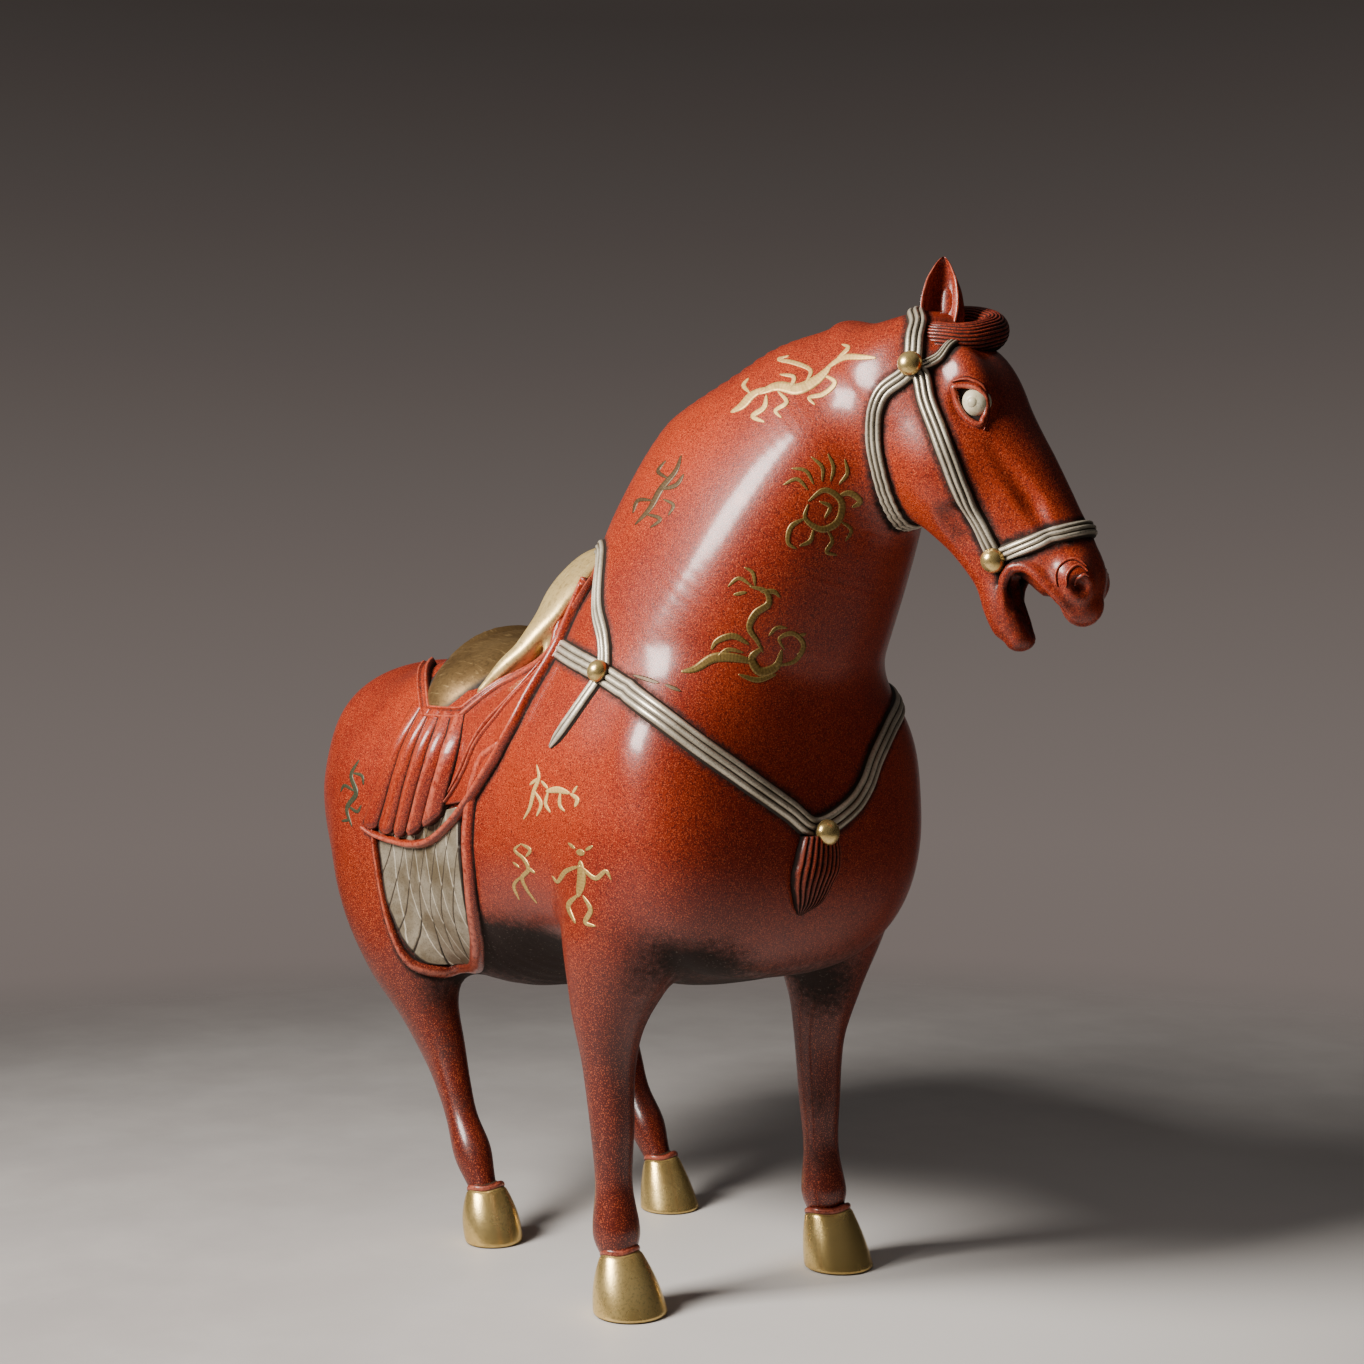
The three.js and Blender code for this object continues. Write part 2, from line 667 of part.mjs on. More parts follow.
/** A closed plate lying on the skin: a lifted grid, walls, and a fan to a point inside. */
function plate(grid, sunk = STRAP_SUNK) {
  const rows = grid.length;
  const columns = grid[0].length;
  const points = grid.flat().map(({ at, out, lift }) => at.clone().addScaledVector(out, lift).toArray());
  const triangles = [];
  for (let i = 0; i < rows - 1; i += 1) {
    for (let j = 0; j < columns - 1; j += 1) {
      const a = i * columns + j;
      triangles.push([a, a + 1, a + columns + 1], [a, a + columns + 1, a + columns]);
    }
  }
  const edge = [];
  for (let j = 0; j < columns - 1; j += 1) {
    edge.push([0, j]);
  }
  for (let i = 0; i < rows - 1; i += 1) {
    edge.push([i, columns - 1]);
  }
  for (let j = columns - 1; j > 0; j -= 1) {
    edge.push([rows - 1, j]);
  }
  for (let i = rows - 1; i > 0; i -= 1) {
    edge.push([i, 0]);
  }
  const first = points.length;
  const heart = vec(0, 0, 0);
  for (const [i, j] of edge) {
    const { at, out } = grid[i][j];
    const low = at.clone().addScaledVector(out, -sunk);
    points.push(low.toArray());
    heart.addScaledVector(low, 1 / edge.length);
  }
  const middle = points.length;
  points.push(heart.toArray());
  edge.forEach(([i, j], n) => {
    const m = (n + 1) % edge.length;
    const a = i * columns + j;
    const b = edge[m][0] * columns + edge[m][1];
    triangles.push([a, first + n, first + m], [a, first + m, b], [middle, first + m, first + n]);
  });
  return { points, triangles };
}

/** Turns every face of a mesh over. */
function flipped({ points, triangles }) {
  return { points, triangles: triangles.map(([a, b, c]) => [a, c, b]) };
}

/** A plate between two edges, each a list of [x, turn] pairs, on one side of the horse. */
function cloth(front, back, side, columns, rows, lift) {
  const curveOf = (list) => openCurve(list.map(([x, turn]) => vec(x, turn, 0)));
  const a = curveOf(back);
  const b = curveOf(front);
  const grid = [];
  for (let i = 0; i <= rows; i += 1) {
    const v = i / rows;
    const p = a.getPoint(v);
    const q = b.getPoint(v);
    const row = [];
    for (let j = 0; j <= columns; j += 1) {
      const u = j / columns;
      row.push({ ...onSkin(lerp(p.x, q.x, u), lerp(p.y, q.y, u), side), lift: lift(u, v) });
    }
    grid.push(row);
  }
  return side < 0 ? flipped(plate(grid, CLOTH_SUNK)) : plate(grid, CLOTH_SUNK);
}

/** Guide points on the skin from [x, turn] pairs. */
const path = (list, side) => list.map(([x, turn]) => onSkin(x, turn, side).at);

/** A ball, flattened along one direction if asked. */
function ball(middle, radius, out = vec(0, 0, 1), flat = 1, sides = 10) {
  const spin = new THREE.Quaternion().setFromUnitVectors(vec(0, 0, 1), out);
  const rings = [];
  const stacks = Math.round(sides * 0.6);
  for (let i = 0; i <= stacks; i += 1) {
    const tilt = Math.PI * clamp(i / stacks, 0.04, 0.96);
    const row = [];
    for (let j = 0; j < sides; j += 1) {
      const turn = 2 * Math.PI * j / sides;
      row.push(vec(
        radius * Math.sin(tilt) * Math.cos(turn),
        radius * Math.sin(tilt) * Math.sin(turn),
        radius * flat * -Math.cos(tilt)).applyQuaternion(spin).add(middle));
    }
    rings.push(row);
  }
  return loft(rings);
}

/** One hoof on its flat sole. */
function hoof(x, y, radius) {
  const levels = [
    [0, radius, 0],
    [3, radius - 0.3, 0.6],
    [HOOF_HEIGHT, HOOF_TOP_RADIUS, HOOF_SLOPE],
    [HOOF_HEIGHT + 3, HOOF_TOP_RADIUS - 3, HOOF_SLOPE + 0.8],
  ];
  return loft(levels.map(([z, reach, back]) => {
    const row = [];
    for (let j = 0; j < HOOF_SIDES; j += 1) {
      const turn = 2 * Math.PI * j / HOOF_SIDES;
      row.push(vec(x - back + reach * Math.cos(turn), y + reach * Math.sin(turn), z));
    }
    return row;
  }));
}

/** The ring of bound hair on the forehead. */
function coil() {
  const start = vec(1, 0, 0).cross(COIL_NORMAL).normalize();
  const rings = [];
  const count = 16;
  for (let i = 0; i < count; i += 1) {
    const out = start.clone().applyAxisAngle(COIL_NORMAL, 2 * Math.PI * i / count);
    const row = [];
    for (let j = 0; j < 10; j += 1) {
      const turn = 2 * Math.PI * j / 10;
      row.push(COIL_MIDDLE.clone()
        .addScaledVector(out, COIL_RADIUS + COIL_THICK * Math.cos(turn))
        .addScaledVector(COIL_NORMAL, -COIL_THICK * Math.sin(turn)));
    }
    rings.push(row);
  }
  return loft(rings, true);
}

/** A pricked ear, a leaf with a hollow that faces outward; `side` is -1 for the right ear. */
function ear(side) {
  const mirror = (p) => (side < 0 ? p : p.clone().addScaledVector(headLeft, -2 * p.dot(headLeft)));
  const place = (p) => mirror(p.clone().sub(FOREHEAD)).add(FOREHEAD);
  const axis = EAR_TIP.clone().sub(EAR_BASE);
  const open = vec(0.73, -0.68, 0);
  open.addScaledVector(axis, -open.dot(axis) / axis.lengthSq()).normalize();
  const across = axis.clone().normalize().cross(open);
  const widths = [[0, 4.2], [0.2, 5.6], [0.42, 6.2], [0.65, 5.0], [0.84, 2.7], [1, 0.5]];
  const outer = 7;
  const inner = 5;
  const rings = widths.map(([t, half]) => {
    const at = EAR_BASE.clone().addScaledVector(axis, t);
    const row = [];
    for (let i = 0; i < outer; i += 1) {
      const turn = Math.PI * i / (outer - 1);
      row.push(at.clone()
        .addScaledVector(across, half * Math.cos(turn))
        .addScaledVector(open, -half * 0.95 * Math.sin(turn)));
    }
    for (let i = 0; i < inner; i += 1) {
      const turn = Math.PI * (1 - (i + 0.5) / inner);
      row.push(at.clone()
        .addScaledVector(across, 0.8 * half * Math.cos(turn))
        .addScaledVector(open, 0.4 - half * 0.6 * Math.sin(turn)));
    }
    return row.map(place);
  });
  return side < 0 ? loft(rings) : flipped(loft(rings));
}

/** The fluted tassel on the chest. */
function tassel() {
  const line = openCurve([vec(111, -2.5, 181), vec(110, -3.5, 168), vec(106, -4, 155)]);
  const widths = [[0, 8], [0.2, 10], [0.45, 10.2], [0.7, 8], [0.88, 4.5], [1, 1]];
  const columns = 18;
  const grid = widths.map(([t, half]) => {
    const row = [];
    for (let j = 0; j <= columns; j += 1) {
      const v = 1 - 2 * j / columns;
      const { at, out } = settle(line.getPoint(t).add(vec(0, v * half, 0)));
      const flute = j % 2 ? 1 : 0.55;
      row.push({ at, out, lift: 0.6 + 0.5 * half * Math.sqrt(Math.max(0, 1 - v * v)) * flute });
    }
    return row;
  });
  return plate(grid);
}

// Strap paths, as points near the right side of the horse; the left side mirrors them
const breastPath = [
  vec(-22, -43, 254), vec(-10, -44, 254), vec(22, -53, 250), vec(50, -61, 243), vec(80, -62, 231),
  vec(98, -52, 217), vec(106, -36, 205), vec(110, -18, 193), vec(111, 0, 183),
];
const collarPath = [vec(4, 0, 290), vec(8, -20, 292), vec(13, -36, 288), vec(25, -47, 271), vec(39, -55, 257), vec(50, -61, 243)];
const endPath = [vec(50, -61, 243), vec(49, -66.5, 237), vec(43.5, -70.4, 227.6), vec(33, -74, 215)];
const crownPath = [[-30, 0, -14], [-26, -8, -15], [-20, -14, -18], [-8, -18, -22]];
const throatPath = [[-8, -18, -22], [-5, -19, -29], [-1, -19.5, -40], [7, -17.5, -49], [20, -13.7, -55], [30, -7, -60], [34, 0, -61]];
const cheekPath = [[-8, -18, -22], [3, -20, -22.5], [17.5, -22.6, -24], [34, -21.4, -27], [49, -16, -29], [66, -9.2, -33]];
const nosePath = [[66, -9.2, -33], [67, -10, -28], [69.5, -12.5, -15], [71.5, -7, -4], [72, 0, -1.5]];
const chinPath = [[66, -9.2, -33], [68.6, -8, -39.5], [69, -4, -44], [69, 0, -45]];
const browPath = [[-8, -18, -22], [-5.6, -16.8, -15], [-3, -14, -8], [-3, -7, -3], [-3, 0, -1]];
const lidPath = [[8.2, -15.1], [12.5, -8], [19, -4.8], [23.5, -7.5], [24.7, -11.8], [20.5, -15.6], [15.5, -16.7]];
const EYE = [17.3, 17.6, -10.6];
const EYE_RADIUS = 4.4;

// Cloth edges as [x, turn] pairs, from the saddle down
const blanketBack = [[-118, 92], [-116, 108], [-109, 122], [-97, 134], [-82, 144]];
const blanketFront = [[-17, 80], [-22, 100], [-30, 118], [-43, 135], [-58, 148]];
const skirtBack = [[-100, 56], [-98, 75], [-96, 92]];
const skirtFront = [[8, 40], [-4, 56], [-22, 76], [-46, 98]];
const foldsBack = [[-101, 57], [-104, 72], [-112, 87], [-121, 101]];
const foldsFront = [[-54, 57], [-54, 71], [-57, 85], [-62, 99]];
const rimPath = [[-112, 49], [-105, 56], [-90, 60], [-58, 59], [-45, 53], [-35, 46], [-24, 38], [-12, 30]];
const FOLDS = 5;

const sides = [-1, 1];
const headPath = (list, side) => list.map(([s, u, w]) => onHead(s, -side * u, w));
const bodyPath = (list, side) => list.map((p) => vec(p.x, -side * p.y, p.z));
const foldLift = (u, v) => 2.6 + (0.6 + 1.6 * v) * Math.cos(2 * Math.PI * FOLDS * u + 0.6);

const pieces = [thinOut(wrap(
  saddled,
  planes(-250, 222, BODY_CELL, HEAD_CELL, HEAD_FROM_X),
  planes(-92, 92, 3.0, 3.0, 0),
  planes(8, 380, BODY_CELL, HEAD_CELL, HEAD_FROM_Z)), BODY_TRIANGLES)];

pieces.push(
  hoof(FORE_X, -FORE_Y, SOLE_RADIUS),
  hoof(FORE_X, FORE_Y, SOLE_RADIUS),
  hoof(HIND_X, -HIND_Y, NEAR_HIND_RADIUS),
  hoof(HIND_X, HIND_Y, SOLE_RADIUS));
for (const side of sides) {
  pieces.push(
    cloth(blanketFront, blanketBack, side, 9, 8, () => 1.1),
    cloth(skirtFront, skirtBack, side, 8, 6, () => 1.8),
    cloth(foldsFront, foldsBack, side, 20, 4, foldLift),
    band(path([...blanketBack, ...blanketFront.slice().reverse()], side), 5, { rise: 2.4, pitch: 11, sunk: CLOTH_SUNK }),
    band(path(rimPath, side), 4, { rise: 3, pitch: 10 }),
    band(path(skirtFront, side), 4, { rise: 3, pitch: 10 }),
    band(bodyPath(endPath, side), STRAP_WIDTH, { end: 0.7 }),
    band(headPath(throatPath, side), STRAP_WIDTH),
    band(headPath(cheekPath, side), STRAP_WIDTH),
    ear(side));
  for (const [s, u, w, radius] of [[-9, 18.4, -22, BOSS_RADIUS], [66, 9.6, -33, BOSS_RADIUS]]) {
    const { at, out } = settle(onHead(s, side * u, w));
    pieces.push(ball(at.addScaledVector(out, 1.2), radius, out, 0.9));
  }
  const breast = settle(vec(50, side * 61, 243));
  pieces.push(ball(breast.at.addScaledVector(breast.out, 1.4), BOSS_RADIUS, breast.out, 0.9));
  const eye = onHead(EYE[0], side * EYE[1], EYE[2]);
  pieces.push(
    ball(eye, EYE_RADIUS, headLeft.clone().multiplyScalar(side), 0.8),
    band(lidPath.map(([s, w]) => onHead(s, side * 19, w)), 2.2, { rise: 1, pitch: 4, loop: true }));
}
const mirrored = (right, left) => [...right, ...left.slice(0, -1).reverse()];
pieces.push(
  band(mirrored(bodyPath(breastPath, 1), bodyPath(breastPath, -1)), BREAST_WIDTH),
  band(mirrored(bodyPath(collarPath, 1), bodyPath(collarPath, -1)).reverse(), STRAP_WIDTH),
  band(mirrored(headPath(crownPath, 1), headPath(crownPath, -1)), STRAP_WIDTH),
  band(mirrored(headPath(nosePath, 1), headPath(nosePath, -1)), NOSE_WIDTH),
  band(mirrored(headPath(chinPath, 1), headPath(chinPath, -1)), NOSE_WIDTH),
  band(mirrored(headPath(browPath, 1), headPath(browPath, -1)), NOSE_WIDTH),
  coil(),
  tassel());
const chest = settle(vec(111, -0.5, 183));
pieces.push(ball(chest.at.addScaledVector(chest.out, 1.8), CHEST_BOSS_RADIUS, chest.out, 0.9));

/** A solid of a closed mesh. */
function solid({ points, triangles }) {
  return new wasm.Manifold(new wasm.Mesh({
    numProp: 3,
    vertProperties: Float32Array.from(points.flat()),
    triVerts: Uint32Array.from(triangles.flat()),
  }));
}

const whole = wasm.Manifold.union(pieces.map(solid)).getMesh();
const corners = [];
for (let i = 0; i < whole.vertProperties.length; i += 3) {
  corners.push([...whole.vertProperties.slice(i, i + 3)]);
}
const faces = [];
for (let i = 0; i < whole.triVerts.length; i += 3) {
  faces.push([...whole.triVerts.slice(i, i + 3)]);
}
const cast = thinOut({ points: corners, triangles: faces }, CAST_TRIANGLES);

const geometry = new THREE.BufferGeometry();
geometry.setAttribute('position', new THREE.Float32BufferAttribute(cast.points.flat(), 3));
geometry.setIndex(cast.triangles.flat());
geometry.computeBoundingBox();
const centre = geometry.boundingBox.getCenter(new THREE.Vector3());
geometry.translate(-centre.x, -centre.y, 0);

const lacquer = new THREE.MeshStandardMaterial({ color: 0x9c2f1a, roughness: 0.35, metalness: 0.1 });
const horse = new THREE.Mesh(geometry, lacquer);
horse.name = 'horse';
const group = new THREE.Group();
group.add(horse);

export default group;
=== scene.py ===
"""A red-lacquered cast bronze horse with bridle, breast strap, saddle and side cloths, in a plain studio."""

import logging
import math
from collections.abc import Callable
from dataclasses import dataclass, field
from enum import Enum

import bpy
import numpy as np
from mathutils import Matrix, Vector, kdtree


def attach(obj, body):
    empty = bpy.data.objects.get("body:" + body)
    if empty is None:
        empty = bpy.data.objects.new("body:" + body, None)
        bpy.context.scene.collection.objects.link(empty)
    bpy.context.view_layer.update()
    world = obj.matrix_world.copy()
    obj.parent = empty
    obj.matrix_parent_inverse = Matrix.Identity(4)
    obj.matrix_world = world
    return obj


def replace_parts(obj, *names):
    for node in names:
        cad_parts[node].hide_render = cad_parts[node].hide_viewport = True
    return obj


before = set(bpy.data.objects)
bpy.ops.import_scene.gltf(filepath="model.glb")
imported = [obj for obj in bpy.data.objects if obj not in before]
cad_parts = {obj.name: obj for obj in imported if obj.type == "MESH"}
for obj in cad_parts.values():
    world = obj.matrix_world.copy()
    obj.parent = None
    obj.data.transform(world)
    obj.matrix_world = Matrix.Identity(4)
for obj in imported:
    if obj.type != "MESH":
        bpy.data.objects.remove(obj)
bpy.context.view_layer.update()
LOG = logging.getLogger("horse")

Array = np.ndarray
Field = Callable[[Array], Array]

MM = 0.001
PLAN_SHIFT = np.array([2.942, 0.0, 0.0])  # from the modelling axes to the frame's axes, mm
AXIS_Z = 185.0                            # height of the line that the cloths are laid out round
FAR = 900.0                               # distance given where a form is out of reach
CHUNK = 30000                             # points measured at once
BLOCK = 4                                 # grid steps of a block, skipped where no skin is near
ROOT = 1.6                                # how far raised pieces reach into the skin, mm
SIDES = ((-1, "right"), (1, "left"))

FORE_X, HIND_X = 57.5, -55.0
FORE_Y, HIND_Y = 51.5, 46.0

HEAD_YAW = math.radians(25.0)
HEAD_PITCH = math.radians(60.5)
FOREHEAD = np.array([170.0, 29.5, 356.0])
HEAD_DOWN = np.array([
    math.cos(HEAD_PITCH) * math.cos(HEAD_YAW),
    math.cos(HEAD_PITCH) * math.sin(HEAD_YAW),
    -math.sin(HEAD_PITCH)])
HEAD_LEFT = np.array([-math.sin(HEAD_YAW), math.cos(HEAD_YAW), 0.0])
HEAD_OUT = np.cross(HEAD_DOWN, HEAD_LEFT)
HEAD_AXES = np.stack([HEAD_DOWN, HEAD_LEFT, HEAD_OUT])

SIGHT = np.array([-0.814, 0.581, 0.0])    # the way that the camera looks
ACROSS = np.array([0.581, 0.814, 0.0])    # to the right in the picture


# ---- numbers and curves ----

def unit(v: Array) -> Array:
    """Vectors along the last axis, each at length one."""
    return v / np.maximum(np.linalg.norm(v, axis=-1, keepdims=True), 1e-12)


def smoothstep(low: float, high: float, x: Array) -> Array:
    """0 below low, 1 above high, and a smooth ramp between."""
    t = np.clip((x - low) / (high - low), 0.0, 1.0)
    return t * t * (3.0 - 2.0 * t)


def join(a: Array, b: Array, width: float) -> Array:
    """Two signed distances joined with a fillet about as wide as width."""
    h = np.maximum(width - np.abs(a - b), 0.0) / width
    return np.minimum(a, b) - h * h * width / 4.0


def carve(a: Array, b: Array, width: float) -> Array:
    """b cut out of a, with a rounded edge."""
    return -join(-a, b, width)


def on_head(points: list | Array) -> Array:
    """Rows of (down the face, to the head's left, out of the forehead) in the horse's axes."""
    return FOREHEAD + np.atleast_2d(np.asarray(points, float)) @ HEAD_AXES


def spline(points: Array, t: Array, loop: bool = False) -> Array:
    """Points of a centripetal curve through guide points.

    Args:
        points: guide points, one a row.
        t: places along the curve, from 0 to 1.
        loop: whether the curve closes on itself.

    Returns:
        One row for each place.
    """
    p = np.asarray(points, float)
    if loop:
        p = np.vstack([p[-1], p, p[0], p[1]])
    else:
        p = np.vstack([2 * p[0] - p[1], p, 2 * p[-1] - p[-2]])
    spans = len(p) - 3
    place = np.clip(np.asarray(t, float), 0.0, 1.0) * spans
    i = np.minimum(place.astype(int), spans - 1)
    w = (place - i)[:, None]
    gap = np.maximum(np.linalg.norm(np.diff(p, axis=0), axis=1) ** 0.5, 1e-3)[:, None]
    g0, g1, g2 = gap[i], gap[i + 1], gap[i + 2]
    x0, x1, x2, x3 = p[i], p[i + 1], p[i + 2], p[i + 3]
    m1 = ((x1 - x0) / g0 - (x2 - x0) / (g0 + g1) + (x2 - x1) / g1) * g1
    m2 = ((x2 - x1) / g1 - (x3 - x1) / (g1 + g2) + (x3 - x2) / g2) * g1
    return x1 + w * (m1 + w * (3 * (x2 - x1) - 2 * m1 - m2 + w * (2 * (x1 - x2) + m1 + m2)))


def even(points: Array, pitch: float, loop: bool = False) -> Array:
    """Points at equal steps along the curve through guide points.

    Args:
        points: guide points, one a row.
        pitch: about how long each step is.
        loop: whether the curve closes on itself.

    Returns:
        One row for each point.
    """
    t = np.linspace(0.0, 1.0, 60 * len(points))
    dense = spline(points, t, loop)
    length = np.concatenate([[0.0], np.cumsum(np.linalg.norm(np.diff(dense, axis=0), axis=1))])
    count = max(4, int(round(length[-1] / pitch)))
    goal = np.linspace(0.0, length[-1], count + 1)
    if loop:
        goal = goal[:-1]
    return spline(points, np.interp(goal, length, t), loop)


def tangents(points: Array, loop: bool = False) -> Array:
    """Unit directions along a row of points.

    Args:
        points: points, one a row.
        loop: whether the row closes on itself.

    Returns:
        One direction a row.
    """
    if loop:
        return unit(np.roll(points, -1, 0) - np.roll(points, 1, 0))
    return unit(np.gradient(points, axis=0))


# ---- forms as signed distances ----

class Limb:
    """A chain of oval rings along a smooth axis: body, neck, skull or leg."""

    def __init__(self, rings: list, left: Array = (0.0, 1.0, 0.0), caps: tuple = (10.0, 10.0),
                 power: float = 2.0, steps: int = 8, reach: float = 34.0) -> None:
        """Lays the stations out.

        Args:
            rings: rows of x, y, z, half width, half depth over the axis and under it.
            left: the direction that half widths are measured in.
            caps: how far the form reaches past its first and last ring.
            power: 2 for ovals, more for fuller sections.
            steps: stations from one ring to the next.
            reach: how far from its rings the form is worth measuring.
        """
        r = np.asarray(rings, float)
        count = (len(r) - 1) * steps
        t = np.arange(count + 1) / count
        self.at = spline(r[:, :3], t)
        self.axis = unit(spline(r[:, :3], t + 1e-4) - spline(r[:, :3], t - 1e-4))
        side = np.asarray(left, float) - self.axis * (self.axis @ np.asarray(left, float))[:, None]
        self.side = unit(side)
        self.under = np.cross(self.side, self.axis)
        i = np.minimum(np.arange(count + 1) // steps, len(r) - 2)
        w = (np.arange(count + 1) / steps - i)[:, None]
        s = r[:, 3:]
        p0, p1 = s[np.maximum(i - 1, 0)], s[i]
        p2, p3 = s[i + 1], s[np.minimum(i + 2, len(r) - 1)]
        self.sizes = p1 + 0.5 * w * (
            p2 - p0 + w * (2 * p0 - 5 * p1 + 4 * p2 - p3 + w * (3 * (p1 - p2) + p3 - p0)))
        self.caps = caps
        self.power = power
        widest = self.sizes.max() + reach
        self.low = self.at.min(0) - widest
        self.high = self.at.max(0) + widest

    def distance(self, p: Array) -> Array:
        """Signed distance, near enough, of points to the form's skin.

        Args:
            p: points, one a row.

        Returns:
            One value a point.
        """
        out = np.full(len(p), FAR)
        near = np.flatnonzero(((p > self.low) & (p < self.high)).all(1))
        for i in range(0, len(near), CHUNK):
            part = near[i:i + CHUNK]
            out[part] = self._near(p[part])
        return out

    def _near(self, p: Array) -> Array:
        """The distance for points within reach.

        Args:
            p: points, one a row.

        Returns:
            One value a point.
        """
        a, b = self.at[:-1], self.at[1:]
        d = b - a
        dd = (d * d).sum(1)
        vd = p @ d.T - (a * d).sum(1)
        vv = (p * p).sum(1)[:, None] - 2 * p @ a.T + (a * a).sum(1)
        t = np.clip(vd / dd, 0.0, 1.0)
        best = np.argmin(vv - 2 * t * vd + t * t * dd, axis=1)
        w = t[np.arange(len(p)), best][:, None]

        def mixed(values: Array) -> Array:
            """The values at the nearest place of the axis."""
            return values[best] * (1 - w) + values[best + 1] * w

        v = p - mixed(self.at)
        u = (v * mixed(self.side)).sum(1)
        h = (v * mixed(self.under)).sum(1)
        s = (v * mixed(self.axis)).sum(1)
        size = mixed(self.sizes)
        deep = np.where(h > 0, size[:, 2], size[:, 1])
        cap = np.where(s < 0, self.caps[0], self.caps[1])
        k = (np.abs(u / size[:, 0]) ** self.power + np.abs(h / deep) ** self.power
             + np.abs(s / cap) ** self.power) ** (1.0 / self.power)
        r = np.linalg.norm(v, axis=1)
        return np.where(k < 0.05, -np.minimum(size[:, 0], deep), r * (1 - 1 / np.maximum(k, 0.05)))


@dataclass(frozen=True)
class Ovoid:
    """A ball stretched along its own axes."""

    middle: Array
    halves: Array
    axes: Array = field(default_factory=lambda: np.eye(3))

    def distance(self, p: Array) -> Array:
        """Signed distance, near enough, of points to the ovoid.

        Args:
            p: points, one a row.

        Returns:
            One value a point.
        """
        v = p - self.middle
        k = np.linalg.norm(v @ np.asarray(self.axes).T / np.asarray(self.halves, float), axis=1)
        r = np.linalg.norm(v, axis=1)
        return np.where(k < 0.05, -min(self.halves), r * (1 - 1 / np.maximum(k, 0.05)))


def head_ovoid(s: float, u: float, w: float, halves: list) -> Ovoid:
    """An ovoid placed and turned with the head."""
    return Ovoid(on_head([s, u, w])[0], halves, HEAD_AXES)


def head_pair(s: float, u: float, w: float, halves: list) -> Field:
    """The same ovoid on both sides of the head, as one field."""
    right, left = head_ovoid(s, -u, w, halves), head_ovoid(s, u, w, halves)
    return lambda p: np.minimum(right.distance(p), left.distance(p))


def head_cord(rows: list, radius: float, sign: float) -> Limb:
    """A round cord through (s, u, w, share of the radius) rows on one side of the head.

    Args:
        rows: its stations, as such rows.
        radius: radius, mm.
        sign: -1 for the right side, 1 for the left.

    Returns:
        The cord.
    """
    rings = []
    for s, u, w, share in rows:
        rings.append([*on_head([s, sign * u, w])[0], radius * share, radius * share, radius * share])
    return Limb(rings, left=HEAD_LEFT, caps=(radius, radius), steps=6, reach=12.0)


